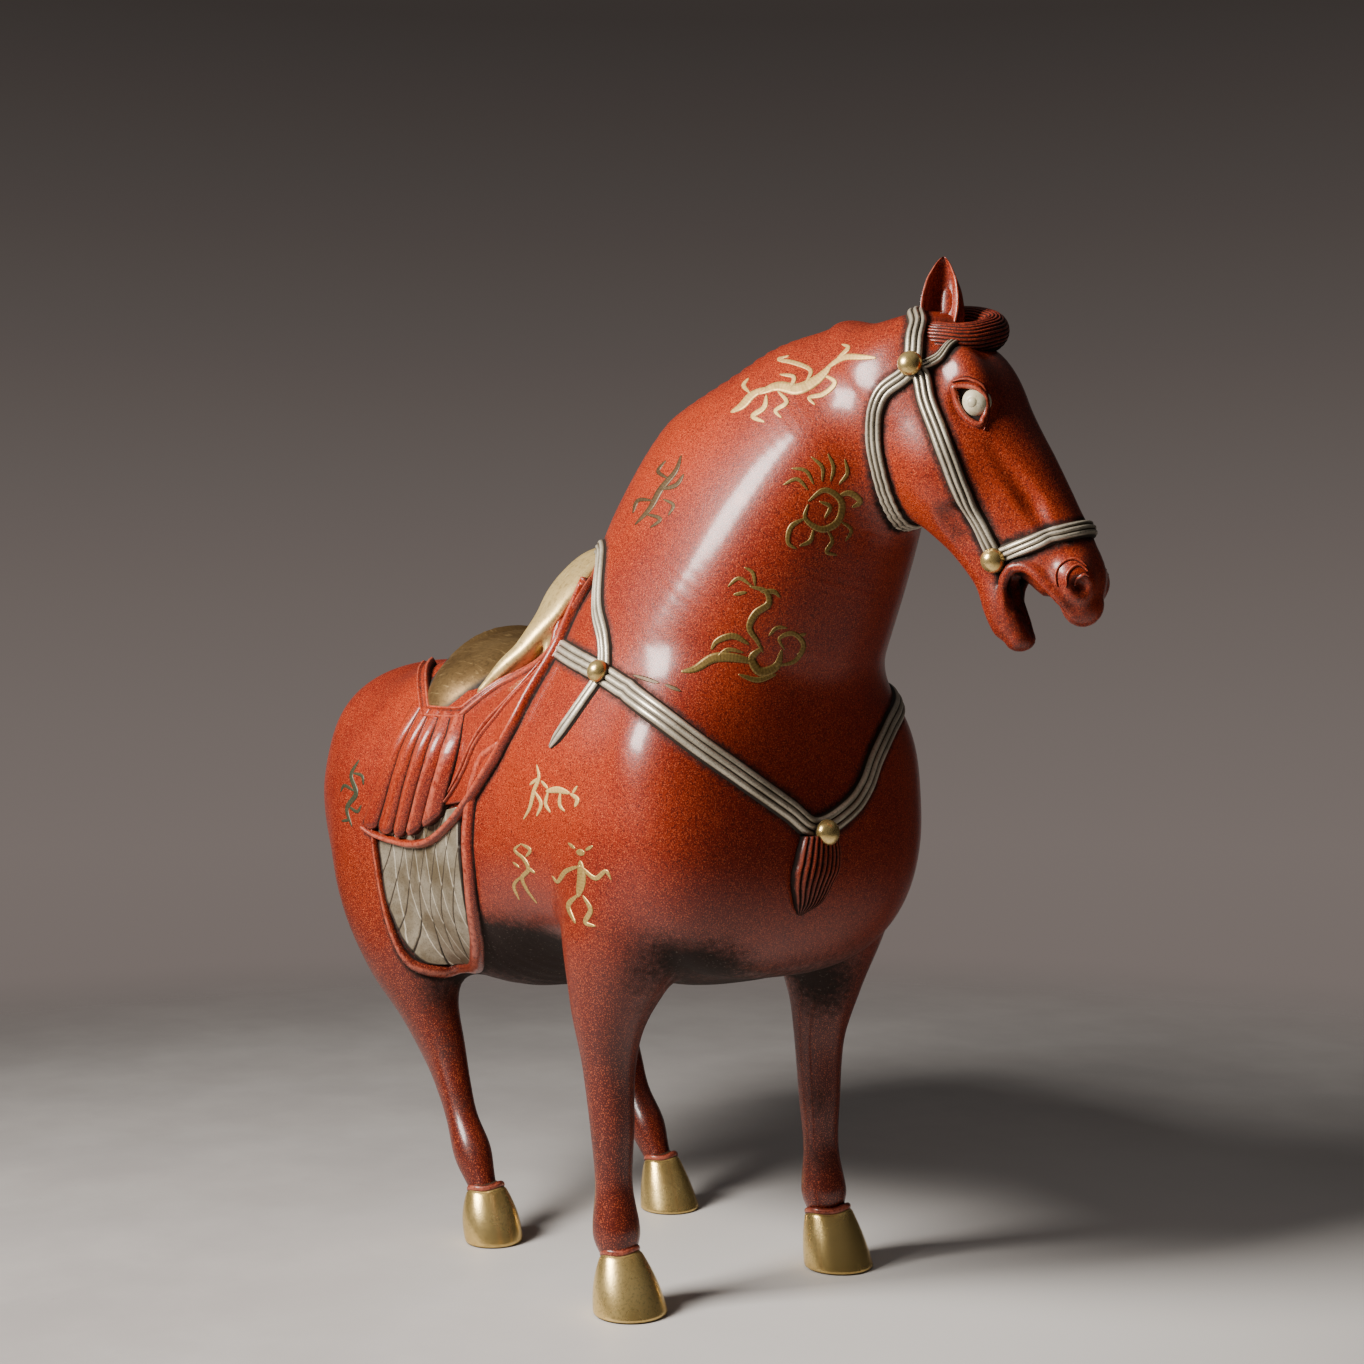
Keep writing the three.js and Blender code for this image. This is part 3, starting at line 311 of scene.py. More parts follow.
class HorseForm:
    """The horse's skin, and the saddle on it, as signed distances in millimetres."""

    def __init__(self) -> None:
        """Lays out every limb, hollow and swelling."""
        self.torso = Limb([
            [-158, 0, 196, 69, 54, 64], [-118, 0, 190, 71, 64, 80], [-66, 0, 184, 70, 66, 80],
            [-15, 0, 186, 70, 66, 63], [38, 0, 192, 73, 62, 73.5], [73, 0, 195, 71, 58, 70],
        ], caps=(44, 37), power=2.5)
        self.neck = Limb([
            [18, 0, 200, 66, 68, 70], [50, 0, 235, 60, 78, 57], [72, 3, 266, 53, 90, 46],
            [92, 8, 298, 46, 88, 39], [112, 13, 326, 36, 61, 31], [130, 18, 344, 24, 42, 24],
        ], caps=(30, 16))
        self.skull = self._head_limb([
            (-17, -26, 17, 20, 20), (5, -25, 21, 27.5, 24), (25, -25, 21, 26.6, 24), (45, -22, 17, 23, 22),
            (63, -19, 13.5, 19, 16), (77, -16, 12.3, 15, 13.5), (86, -14.5, 11.2, 11.5, 11),
            (94, -16.5, 8.2, 7.8, 7)], (12, 8))
        self.jaw = self._head_limb([
            (20, -40, 14, 12, 14), (45, -39, 11, 9, 11), (68, -38.5, 8.5, 6, 8),
            (80, -39.5, 8.5, 6.5, 9), (88, -40.5, 8, 6, 8.5), (93, -41, 6.5, 5, 6)], (12, 5))
        self.foreleg = Limb([
            [62, 46, 182, 26, 34, 34], [52, 50, 140, 23, 25.5, 29.5],
            [46.5, FORE_Y + 1.5, 112, 14.6, 15.4, 17.6],
            [44.5, FORE_Y + 0.8, 92, 10.2, 10.8, 11.4], [45.5, FORE_Y, 66, 8.2, 9, 9],
            [46.5, FORE_Y, 46, 7.1, 7.6, 7.6], [48.5, FORE_Y, 28, 9, 9.6, 9.8],
            [51, FORE_Y, 18, 6.3, 6.4, 6.4]], caps=(30, 6))
        self.hindleg = Limb([
            [-140, 40, 186, 33, 42, 42], [-136, 48, 150, 29, 38, 33],
            [-119, HIND_Y + 6, 118, 20, 27, 23.5], [-107, HIND_Y + 2, 94, 12.5, 12.5, 18.5],
            [-96, HIND_Y, 76, 8.4, 6.5, 17], [-88, HIND_Y, 60, 7, 5.8, 11.5],
            [-82, HIND_Y, 48, 6.6, 6.2, 9.2], [-73, HIND_Y, 34, 8, 8.4, 8.8],
            [-64, HIND_Y, 21, 5.8, 6, 6.2]], caps=(30, 6))
        self.tail = Limb([
            [-184, 0, 228, 8, 8, 8], [-201, 0, 208, 9, 8, 8], [-205, 0, 184, 10.5, 9, 9],
            [-200, 0, 160, 9, 8, 8], [-193, 0, 144, 5, 5, 5]], caps=(8, 5))
        self.poll = Ovoid(np.array([141, 18, 347.5]), [19, 17, 20])
        self.cheek = head_ovoid(24, 0, -34, [26, 22, 19])
        self.brow = head_pair(7, 14.5, -8, [12, 5.5, 6])
        self.under_cheek = head_pair(53, 16, -38, [8, 3.2, 4.5])
        self.socket = head_pair(16.5, 21.8, -11, [9.2, 3.8, 6.3])
        self.flare = head_pair(87, 8.6, -12, [8, 5.4, 6.5])
        self.nostril = head_pair(91.5, 12.2, -10.5, [3.8, 2.9, 2.4])
        self.mouth = head_ovoid(95, 0, -31.5, [22, 22, 5.2])
        self.trough = head_ovoid(86, 0, -33.5, [14, 5, 4.5])
        face_line = [(34, 19.5, -11.3, 0.6), (44, 17.4, -11.3, 1.0), (51, 15.0, -11, 1.0),
                     (58.6, 13.4, -10.8, 1.0), (66, 12.6, -11, 0.5)]
        self.face_lines = [head_cord(face_line, 3.2, sign) for sign in (-1, 1)]
        rim = [(82, 8.4, -38.6, 0.5), (75, 10.2, -34.5, 0.8), (72.4, 11.2, -29, 1.0),
               (75, 11.8, -24, 1.0), (83, 11.8, -21, 1.0), (91, 10, -19.6, 0.8), (97, 6, -19.6, 0.5)]
        self.lips = [head_cord(rim, 2.1, sign) for sign in (-1, 1)]
        self.seat_dome = Ovoid(np.array([-80, 0, 223.5]), [45, 63.5, 37.5])
        self.seat_dish = Ovoid(np.array([-72, 0, 287]), [26, 36, 30])
        self.cantle = Ovoid(np.array([-112, 0, 230]), [8, 42, 35.5])
        self.seat_fill = Ovoid(np.array([-99, 0, 228]), [26, 52, 35])
        self.pommel_board = Ovoid(np.array([-28, 0, 244]), [7.5, 38, 48])
        half = [[-49, 54, 236, 2, 5, 2.4], [-42, 48, 246, 4.2, 7, 3], [-37.7, 42, 252.7, 5.4, 7.5, 3.4],
                [-34, 37, 260.5, 7, 6, 3.6], [-32.5, 31.5, 268, 9.5, 4.5, 3.6],
                [-33, 25, 277, 11.5, 3.8, 3.6], [-33.5, 18, 284.5, 12, 3.8, 3.6],
                [-34, 8, 292.2, 11.5, 3.8, 3.6]]
        rim = [[x, -y, *rest] for x, y, *rest in half] + [[-34, 0, 294.6, 11, 3.8, 3.6]]
        rim += half[::-1]
        self.pommel_rim = Limb(rim, left=(1, 0, 0), caps=(4, 4))

    @staticmethod
    def _head_limb(rows: list, caps: tuple) -> Limb:
        """A limb along the head, from (s, w, half width, depth over, depth under) rows."""
        return Limb([[*on_head([s, 0, w])[0], *sizes] for s, w, *sizes in rows], left=HEAD_LEFT, caps=caps)

    def skin(self, p: Array) -> Array:
        """Signed distance of points to the bare horse.

        Args:
            p: points, one a row.

        Returns:
            One value a point.
        """
        side = p * [1.0, 0.0, 1.0] + np.abs(p) * [0.0, 1.0, 0.0]
        d = join(self.torso.distance(p), self.neck.distance(p), 14)
        low = p[:, 2] < 240
        if low.any():
            legs = join(d[low], self.foreleg.distance(side[low]), 7)
            d[low] = join(legs, self.hindleg.distance(side[low]), 18)
        back = p[:, 0] < -150
        if back.any():
            d[back] = join(d[back], self.tail.distance(p[back]), 4)
        high = (p[:, 2] > 240) & (p[:, 0] > 90)
        if high.any():
            d[high] = self._head(p[high], d[high])
        return d

    def _head(self, p: Array, neck: Array) -> Array:
        """The head joined to the neck.

        Args:
            p: points, one a row.
            neck: the neck's distances there.

        Returns:
            One value a point.
        """
        head = join(self.skull.distance(p), self.jaw.distance(p), 8)
        head = join(head, self.cheek.distance(p), 10)
        head = join(head, self.brow(p), 6)
        head = join(head, self.poll.distance(p), 12)
        head = carve(head, self.under_cheek(p), 8)
        for line in self.face_lines:
            head = carve(head, line.distance(p), 3)
        d = join(neck, head, 20)
        d = join(d, self.flare(p), 4)
        d = carve(d, self.socket(p), 2)
        d = carve(d, self.mouth.distance(p), 2)
        for lip in self.lips:
            d = join(d, lip.distance(p), 2.5)
        d = carve(d, self.nostril(p), 3)
        return carve(d, self.trough.distance(p), 2)

    def seat(self, p: Array) -> Array:
        """Signed distance to the saddle's seat.

        Args:
            p: points, one a row.

        Returns:
            One value a point.
        """
        d = join(self.seat_dome.distance(p), self.cantle.distance(p), 10)
        d = join(d, self.seat_fill.distance(p), 8)
        return carve(d, self.seat_dish.distance(p), 8)

    def pommel(self, p: Array) -> Array:
        """Signed distance to the pommel."""
        return join(self.pommel_board.distance(p), self.pommel_rim.distance(p), 2)

    @staticmethod
    def slope(p: Array, form: Field) -> tuple[Array, Array]:
        """Value and gradient of a form at points.

        Args:
            p: points, one a row.
            form: the field.

        Returns:
            The values and the gradients.
        """
        h = 0.35
        corners = np.array([[1, -1, -1], [-1, -1, 1], [-1, 1, -1], [1, 1, 1]], float)
        values = [form(p + h * c) for c in corners]
        grad = sum(v[:, None] * c for v, c in zip(values, corners)) / (4 * h)
        return sum(values) / 4.0, grad

    def mesh(self, form: Field, axes: list[Array]) -> tuple[Array, list, Array]:
        """A mesh round a form, with its points drawn closer to it.

        Args:
            form: the field.
            axes: grid planes along x, y and z, mm.

        Returns:
            Points, faces and outward directions.
        """
        points, faces = wrap(form, axes)
        value, grad = self.slope(points, form)
        points = points - grad * (value / np.maximum((grad * grad).sum(1), 0.2))[:, None]
        return points, faces, unit(grad)

    def settle(self, p: Array, steps: int = 5) -> tuple[Array, Array]:
        """Points moved to the nearest skin.

        Args:
            p: points near the skin, in an array of any shape that ends in 3.
            steps: how many times each point is moved.

        Returns:
            The points and the skin's outward directions there, in the same shape.
        """
        shape = np.shape(p)
        at = np.array(p, float).reshape(-1, 3)
        for _ in range(steps):
            value, grad = self.slope(at, self.skin)
            step = np.clip(value / np.maximum((grad * grad).sum(1), 0.1), -4, 4)
            at = at - grad * step[:, None]
        return at.reshape(shape), unit(self.slope(at, self.skin)[1]).reshape(shape)

    def on_skin(self, x: Array, turn: Array, side: float = -1.0) -> Array:
        """Skin points at places along the body.

        Args:
            x: places along the body, mm.
            turn: turns down from the back, degrees.
            side: -1 for the right side, 1 for the left.

        Returns:
            One point a row.
        """
        x, angle = np.ravel(x).astype(float), np.radians(np.ravel(turn).astype(float))
        way = np.stack([0 * x, side * np.sin(angle), np.cos(angle)], 1)
        base = np.stack([x, 0 * x, 0 * x + AXIS_Z], 1)
        outer = np.full(len(x), 120.0)
        for _ in range(37):
            open_air = self.skin(base + way * (outer - 3)[:, None]) > 0
            outer = np.where(open_air & (outer > 10), outer - 3, outer)
        inner = outer - 3
        for _ in range(9):
            middle = (inner + outer) / 2
            air = self.skin(base + way * middle[:, None]) > 0
            outer, inner = np.where(air, middle, outer), np.where(air, inner, middle)
        return base + way * inner[:, None]


# ---- meshes ----

@dataclass
class Shape:
    """A mesh in millimetres, with how much grime and painted shade and how rubbed each of its points is."""

    points: Array
    faces: list
    crease: Array | None = None
    worn: Array | None = None

    def plus(self, other: "Shape") -> "Shape":
        """This mesh and another one as one mesh.

        Args:
            other: the mesh that is added.

        Returns:
            The joined mesh.
        """
        n = len(self.points)
        moved = [tuple(i + n for i in f) for f in other.faces]

        def both(a: Array | None, b: Array | None) -> Array:
            """One value a point for the two meshes.

            Args:
                a: this mesh's values, or none.
                b: the other mesh's values, or none.

            Returns:
                One value a point.
            """
            a = np.zeros(n) if a is None else a
            b = np.zeros(len(other.points)) if b is None else b
            return np.concatenate([a, b])

        return Shape(np.vstack([self.points, other.points]), list(self.faces) + moved,
                     both(self.crease, other.crease), both(self.worn, other.worn))

    def flipped(self) -> "Shape":
        """The mesh with its faces turned over."""
        return Shape(self.points, [tuple(reversed(f)) for f in self.faces], self.crease, self.worn)


def place(shape: Shape, name: str, material: bpy.types.Material, slot: str) -> bpy.types.Object:
    """Makes a Blender object of a mesh.

    Args:
        shape: the mesh, in millimetres.
        name: the piece's name.
        material: its finish.
        slot: the record's material slot; not used.

    Returns:
        The object, which rides on the horse's body.
    """
    mesh = bpy.data.meshes.new(name)
    mesh.from_pydata(((shape.points + PLAN_SHIFT) * MM).tolist(), [], [list(f) for f in shape.faces])
    mesh.update()
    mesh.polygons.foreach_set("use_smooth", [True] * len(mesh.polygons))
    for key, values in (("crease", shape.crease), ("worn", shape.worn)):
        layer = mesh.attributes.new(key, "FLOAT", "POINT")
        if values is not None:
            layer.data.foreach_set("value", np.clip(values, 0, 1).astype(np.float32))
    mesh.materials.append(material)
    piece = bpy.data.objects.new(name, mesh)
    bpy.context.scene.collection.objects.link(piece)
    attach(piece, "root")
    LOG.info("%s: %d points, %d faces", name, len(shape.points), len(shape.faces))
    return piece


def grid_faces(rows: int, columns: int, wrap_rows: bool = False, wrap_columns: bool = False) -> list:
    """Four-sided faces over a grid of points given row by row.

    Args:
        rows: how many rows.
        columns: how many points in each.
        wrap_rows: whether the last row joins the first.
        wrap_columns: whether the last column joins the first.

    Returns:
        The faces, as four point numbers each.
    """
    i = np.arange(rows if wrap_rows else rows - 1)[:, None]
    j = np.arange(columns if wrap_columns else columns - 1)[None]
    k, m = (i + 1) % rows, (j + 1) % columns
    quads = np.stack([i * columns + j + 0 * k, i * columns + m, k * columns + m, k * columns + j + 0 * m], -1)
    return [tuple(q) for q in quads.reshape(-1, 4).tolist()]


def tube(rings: Array, loop: bool = False, crease: Array | None = None, worn: Array | None = None) -> Shape:
    """A closed mesh from rings of equal count, with flat ends, or a loop without ends.

    Args:
        rings: rows by columns by 3.
        loop: whether the last ring joins the first.
        crease: grime and painted shade, one value a point, a row or a column.
        worn: rub, in the same way.

    Returns:
        The mesh.
    """
    rows, columns = rings.shape[:2]
    faces = grid_faces(rows, columns, loop, True)
    if not loop:
        end = (rows - 1) * columns
        faces.append(tuple(range(columns - 1, -1, -1)))
        faces.append(tuple(range(end, end + columns)))
    flat = [None if v is None else np.broadcast_to(v, (rows, columns)).ravel() for v in (crease, worn)]
    return Shape(rings.reshape(-1, 3), faces, *flat)


def plate(at: Array, out: Array, lift: Array,
          crease: Array | None = None, worn: Array | None = None) -> Shape:
    """A closed plate on the skin: a lifted grid, walls, and a fan to a point inside.

    Args:
        at: skin points, rows by columns by 3.
        out: outward directions of the same shape.
        lift: height over the skin.
        crease: grime and painted shade, one value a point.
        worn: rub, one value a point.

    Returns:
        The closed mesh.
    """
    rows, columns = at.shape[:2]
    top = at + out * np.broadcast_to(lift, (rows, columns))[..., None]
    faces = grid_faces(rows, columns)
    edge = [(0, j) for j in range(columns - 1)] + [(i, columns - 1) for i in range(rows - 1)]
    edge += [(rows - 1, j) for j in range(columns - 1, 0, -1)] + [(i, 0) for i in range(rows - 1, 0, -1)]
    e = np.array(edge)
    low = at[e[:, 0], e[:, 1]] - out[e[:, 0], e[:, 1]] * ROOT
    first = rows * columns
    middle = first + len(edge)
    upper = e[:, 0] * columns + e[:, 1]
    for n in range(len(edge)):
        m = (n + 1) % len(edge)
        faces.append((int(upper[n]), first + n, first + m, int(upper[m])))
        faces.append((middle, first + m, first + n))
    points = np.vstack([top.reshape(-1, 3), low, low.mean(0)])

    def padded(values: Array | None, rest: float) -> Array | None:
        """One value a point, with the walls' feet at rest.

        Args:
            values: values of the top, or none.
            rest: the value at the feet.

        Returns:
            One value a point, or none.
        """
        if values is None:
            return None
        top_values = np.broadcast_to(values, (rows, columns)).ravel()
        return np.concatenate([top_values, np.full(len(edge) + 1, rest)])

    # the walls' feet take full painted shade where the plate meets the skin
    return Shape(points, faces, padded(crease, 1.0), padded(worn, 0.0))


def wrap(form: Field, axes: list[Array]) -> tuple[Array, list]:
    """A closed mesh round the zero level of a field.

    Args:
        form: the field.
        axes: grid planes along x, y and z.

    Returns:
        Points, one for each grid cell that the surface crosses, and four-sided faces.
    """
    n = [len(a) for a in axes]
    cell = max(np.diff(a).max() for a in axes)
    starts = [np.arange(0, size, BLOCK) for size in n]
    middles = [a[np.minimum(s + BLOCK // 2, len(a) - 1)] for a, s in zip(axes, starts)]
    grid = np.stack(np.meshgrid(*middles, indexing="ij"), -1).reshape(-1, 3)
    coarse = form(grid).reshape([len(s) for s in starts])
    near = np.abs(coarse) < 6 * cell

    def spread(blocks: Array) -> Array:
        """One value for each grid point from one for each block."""
        return blocks.repeat(BLOCK, 0).repeat(BLOCK, 1).repeat(BLOCK, 2)[:n[0], :n[1], :n[2]]

    big = spread(near)
    values = spread(coarse).copy()
    where = np.argwhere(big)
    values[big] = form(np.stack([axes[a][where[:, a]] for a in range(3)], 1))
    inside = values < 0
    corners = np.array([[i & 1, i >> 1 & 1, i >> 2] for i in range(8)])
    views = [inside[c[0]:n[0] - 1 + c[0], c[1]:n[1] - 1 + c[1], c[2]:n[2] - 1 + c[2]] for c in corners]
    total = sum(v.astype(np.int8) for v in views)
    cells = np.argwhere((total > 0) & (total < 8))
    v = np.stack([values[tuple((cells + c).T)] for c in corners], 1)
    total_at = np.zeros((len(cells), 3))
    hits = np.zeros(len(cells))
    for a, b in [(i, i + bit) for bit in (1, 2, 4) for i in range(8) if not i & bit]:
        cut = (v[:, a] < 0) != (v[:, b] < 0)
        t = v[cut, a] / (v[cut, a] - v[cut, b])
        total_at[cut] += corners[a] + t[:, None] * (corners[b] - corners[a])
        hits[cut] += 1
    share = total_at / hits[:, None]
    ends = [(axis[cell], axis[cell + 1]) for axis, cell in zip(axes, cells.T)]
    points = np.stack([first + share[:, k] * (last - first) for k, (first, last) in enumerate(ends)], 1)
    index = np.full(n, -1, np.int32)
    index[tuple(cells.T)] = np.arange(len(cells))
    faces = []
    for axis, (p, q) in enumerate(((1, 2), (2, 0), (0, 1))):
        step = np.eye(3, dtype=int)
        ahead = np.roll(inside, -1, axis)
        change = inside != ahead
        keep = [slice(1, size - 1) for size in n]
        mask = np.zeros_like(change)
        mask[tuple(keep)] = change[tuple(keep)]
        at = np.argwhere(mask)
        ring = [index[tuple((at - s).T)] for s in (step[p] + step[q], step[q], 0 * step[p], step[p])]
        quad = np.stack(ring, 1)
        out = inside[tuple(at.T)]
        quad = np.where(out[:, None], quad, quad[:, ::-1])
        faces += [tuple(f) for f in quad.tolist()]
    return points, faces


def fine_planes(low: float, high: float, cell: float, fine: float, start: float) -> Array:
    """Grid planes along one axis, closer together past start."""
    first = np.arange(low, start, cell)
    return np.concatenate([first, np.arange(first[-1] + cell, high, fine)])


@dataclass(frozen=True)
class Profile:
    """The section of a raised line on the skin: heights from one edge to the other."""

    across: tuple
    height: tuple
    crease: tuple
    worn: tuple

    @staticmethod
    def ridged(ridges: int, rise: float, groove: float, rim: float = 0.12) -> "Profile":
        """A strap with lengthwise ridges, and grooves and a line along both edges darkened with grime and
        painted shade.

        Args:
            ridges: how many ridges.
            rise: height of the middle ridge, mm.
            groove: depth of the grooves, mm.
            rim: share of the half width that is the dark outer line.

        Returns:
            The section.
        """
        across, height, crease, worn = [-1.0, -1.0 + rim], [0.0, 0.4], [1.0, 1.0], [0.0, 0.0]
        inner = 1.0 - rim
        count = ridges * 8
        for k in range(count + 1):
            x = -inner + 2 * inner * k / count
            phase = abs(math.sin(math.pi * ridges * (k / count)))
            arch = 1.0 - 0.35 * (x / inner) ** 2
            across.append(x * (1.0 if 0 < k < count else 0.985))
            height.append(rise * arch - groove * (1.0 - phase ** 0.7))
            # the grooves take grime and painted shade
            crease.append(max(0.0, 1.0 - 2.1 * phase) ** 0.8)
            worn.append(phase ** 2)
        across += [1.0 - rim, 1.0]
        return Profile(tuple(across), tuple(height + [0.4, 0.0]), tuple(crease + [1.0, 1.0]),
                       tuple(worn + [0.0, 0.0]))

    @staticmethod
    def roll(rise: float, rim: float, dark: float) -> "Profile":
        """A rounded cord whose foot along both edges is darkened with grime and painted shade.

        Args:
            rise: its height, mm.
            rim: share of the half width that is foot.
            dark: how much grime and painted shade the foot takes.

        Returns:
            The section.
        """
        across, height, crease, worn = [-1.0], [-0.05], [dark], [0.0]
        count = 12
        for k in range(count + 1):
            angle = math.pi * k / count
            across.append(-(1 - rim) * math.cos(angle))
            height.append(0.05 + rise * math.sin(angle) ** 0.8)
            # the foot takes grime and painted shade
            crease.append(dark * max(0.0, 1.0 - 2.2 * math.sin(angle)))
            worn.append(math.sin(angle) ** 3)
        return Profile(tuple(across + [1.0]), tuple(height + [-0.05]),
                       tuple(crease + [dark]), tuple(worn + [0.0]))


def sweep(form: HorseForm, guides: Array, width: float, profile: Profile, pitch: float = 1.2,
          loop: bool = False, widths: list | None = None, heights: list | None = None) -> Shape:
    """A raised line laid along the skin through guide points.

    Args:
        form: the horse.
        guides: guide points near the skin, mm.
        width: full width, mm.
        profile: its section.
        pitch: step along the line, mm.
        loop: whether it closes on itself.
        widths: shares of the width at equal steps along the line.
        heights: shares of the height at equal steps along the line.

    Returns:
        The closed mesh.
    """
    at, out = form.settle(even(guides, pitch, loop))
    for _ in range(2):
        if loop:
            out = unit(np.roll(out, 1, 0) + 2 * out + np.roll(out, -1, 0))
        else:
            out[1:-1] = unit(out[:-2] + 2 * out[1:-1] + out[2:])
    along = tangents(at, loop)
    side = unit(np.cross(out, along))
    t = np.linspace(0, 1, len(at))
    wide, tall = (np.interp(t, np.linspace(0, 1, len(v)), v) for v in (widths or [1], heights or [1]))
    across = np.array(profile.across)[::-1]
    half = (wide * width / 2)[:, None, None]
    flat = at[:, None] + side[:, None] * across[None, :, None] * half
    base = form.settle(flat, steps=2)[0]
    height = np.array(profile.height)[::-1][None] * tall[:, None]
    top = base + out[:, None] * height[..., None]
    low = base[:, [-1, 0]] - out[:, None] * ROOT
    rings = np.concatenate([top, low], 1)
    # the feet under both edges take full painted shade
    crease = np.concatenate([np.array(profile.crease)[::-1], [1.0, 1.0]])
    worn = np.concatenate([np.array(profile.worn)[::-1], [0.0, 0.0]])
    return tube(rings, loop, crease[None], worn[None])


# ---- finishes ----

Number = float | int


class Wire:
    """A node's output, so that arithmetic on it adds Math nodes."""

    def __init__(self, graph: "Graph", socket: bpy.types.NodeSocket | None) -> None:
        """Keeps the socket and the graph that it belongs to."""
        self.graph = graph
        self.socket = socket

    def _math(self, operation: str, a: "Wire | Number", b: "Wire | Number") -> "Wire":
        """A Math node on two values."""
        return self.graph.node("ShaderNodeMath", {"operation": operation}, {0: a, 1: b})

    def __add__(self, other: "Wire | Number") -> "Wire":
        """The sum."""
        return self._math("ADD", self, other)

    def __sub__(self, other: "Wire | Number") -> "Wire":
        """The difference."""
        return self._math("SUBTRACT", self, other)

    def __rsub__(self, other: Number) -> "Wire":
        """The difference from a number."""
        return self._math("SUBTRACT", other, self)

    def __mul__(self, other: "Wire | Number") -> "Wire":
        """The product."""
        return self._math("MULTIPLY", self, other)

    def __truediv__(self, other: "Wire | Number") -> "Wire":
        """The quotient."""
        return self._math("DIVIDE", self, other)

    def __pow__(self, other: Number) -> "Wire":
        """The power."""
        return self._math("POWER", self, other)

    __radd__ = __add__
    __rmul__ = __mul__

    def ramp(self, low: float, high: float) -> "Wire":
        """An eased ramp from 0 to 1.

        Args:
            low: where the ramp starts.
            high: where it ends; it may be the smaller one.

        Returns:
            The eased share.
        """
        return self.graph.node(
            "ShaderNodeMapRange", {"interpolation_type": "SMOOTHSTEP", "clamp": True},
            {"Value": self, "From Min": low, "From Max": high, "To Min": 0.0, "To Max": 1.0})


class Graph:
    """The nodes of a material or of the world."""

    def __init__(self, holder: bpy.types.Material | bpy.types.World, place: str = "Object") -> None:
        """Empties the holder's nodes.

        Args:
            holder: the material or world.
            place: the coordinates to work in.
        """
        self.holder = holder
        holder.use_nodes = True
        self.tree = holder.node_tree
        self.tree.nodes.clear()
        self.place = self.node("ShaderNodeTexCoord", {}, {}, place)

    def node(self, kind: str, settings: dict, values: dict, out: str | int = 0) -> Wire:
        """One node.

        Args:
            kind: the node's type.
            settings: properties, set first; "stops" are a colour ramp's.
            values: numbers, colours, vectors or wires for its inputs, by name or number.
            out: which output the wire is.

        Returns:
            The output.
        """
        node = self.tree.nodes.new(kind)
        for key, value in settings.items():
            if key == "stops":
                self._set_stops(node.color_ramp.elements, value)
            else:
                setattr(node, key, value)
        for key, value in values.items():
            socket = node.inputs[key]
            if isinstance(value, Wire):
                self.tree.links.new(value.socket, socket)
            else:
                socket.default_value = value
        return Wire(self, node.outputs[out] if len(node.outputs) else None)

    @staticmethod
    def _set_stops(elements: bpy.types.ColorRampElements, stops: list) -> None:
        """Gives a colour ramp its stops.

        Args:
            elements: the ramp's stops.
            stops: pairs of a place and a colour, the places first to last.
        """
        while len(elements) < len(stops):
            elements.new(0.5)
        for element, (spot, _) in zip(elements, stops):
            element.position = spot
        for element, (_, color) in zip(elements, stops):
            element.color = color

    def noise(self, scale: float, detail: float = 3.0, rough: float = 0.5, at: Wire | None = None) -> Wire:
        """Smooth noise, from about 0 to 1, at a scale in features a metre."""
        return self.node("ShaderNodeTexNoise", {"noise_dimensions": "3D"},
                         {"Vector": at or self.place, "Scale": scale, "Detail": detail, "Roughness": rough})

    def stretched(self, factors: tuple) -> Wire:
        """The place, scaled along its axes."""
        return self.node("ShaderNodeVectorMath", {"operation": "MULTIPLY"}, {0: self.place, 1: factors})

    def axis(self, name: str) -> Wire:
        """The place along X, Y or Z."""
        return self.node("ShaderNodeSeparateXYZ", {}, {0: self.place}, name)

    def layer(self, name: str) -> Wire:
        """A value kept on the mesh's points."""
        return self.node("ShaderNodeAttribute", {"attribute_name": name}, {}, "Fac")

    def mix(self, share: Wire, a: "Wire | tuple", b: "Wire | tuple") -> Wire:
        """Two colours mixed."""
        first, second = (c if isinstance(c, Wire) else (*c, 1.0) for c in (a, b))
        return self.node("ShaderNodeMix", {"data_type": "RGBA"}, {0: share, 6: first, 7: second}, 2)

    def bump(self, height: Wire, distance: float, strength: float = 1.0) -> Wire:
        """A bumped normal."""
        return self.node("ShaderNodeBump", {}, {"Height": height, "Distance": distance, "Strength": strength})

    def finish(self, values: dict) -> bpy.types.Material:
        """Ends the material with a surface of these values.

        Args:
            values: values by socket name.

        Returns:
            The material.
        """
        shader = self.node("ShaderNodeBsdfPrincipled", {}, values)
        self.node("ShaderNodeOutputMaterial", {}, {"Surface": shader})
        return self.holder


def new_graph(name: str) -> Graph:
    """The nodes of a new material."""
    return Graph(bpy.data.materials.new(name))


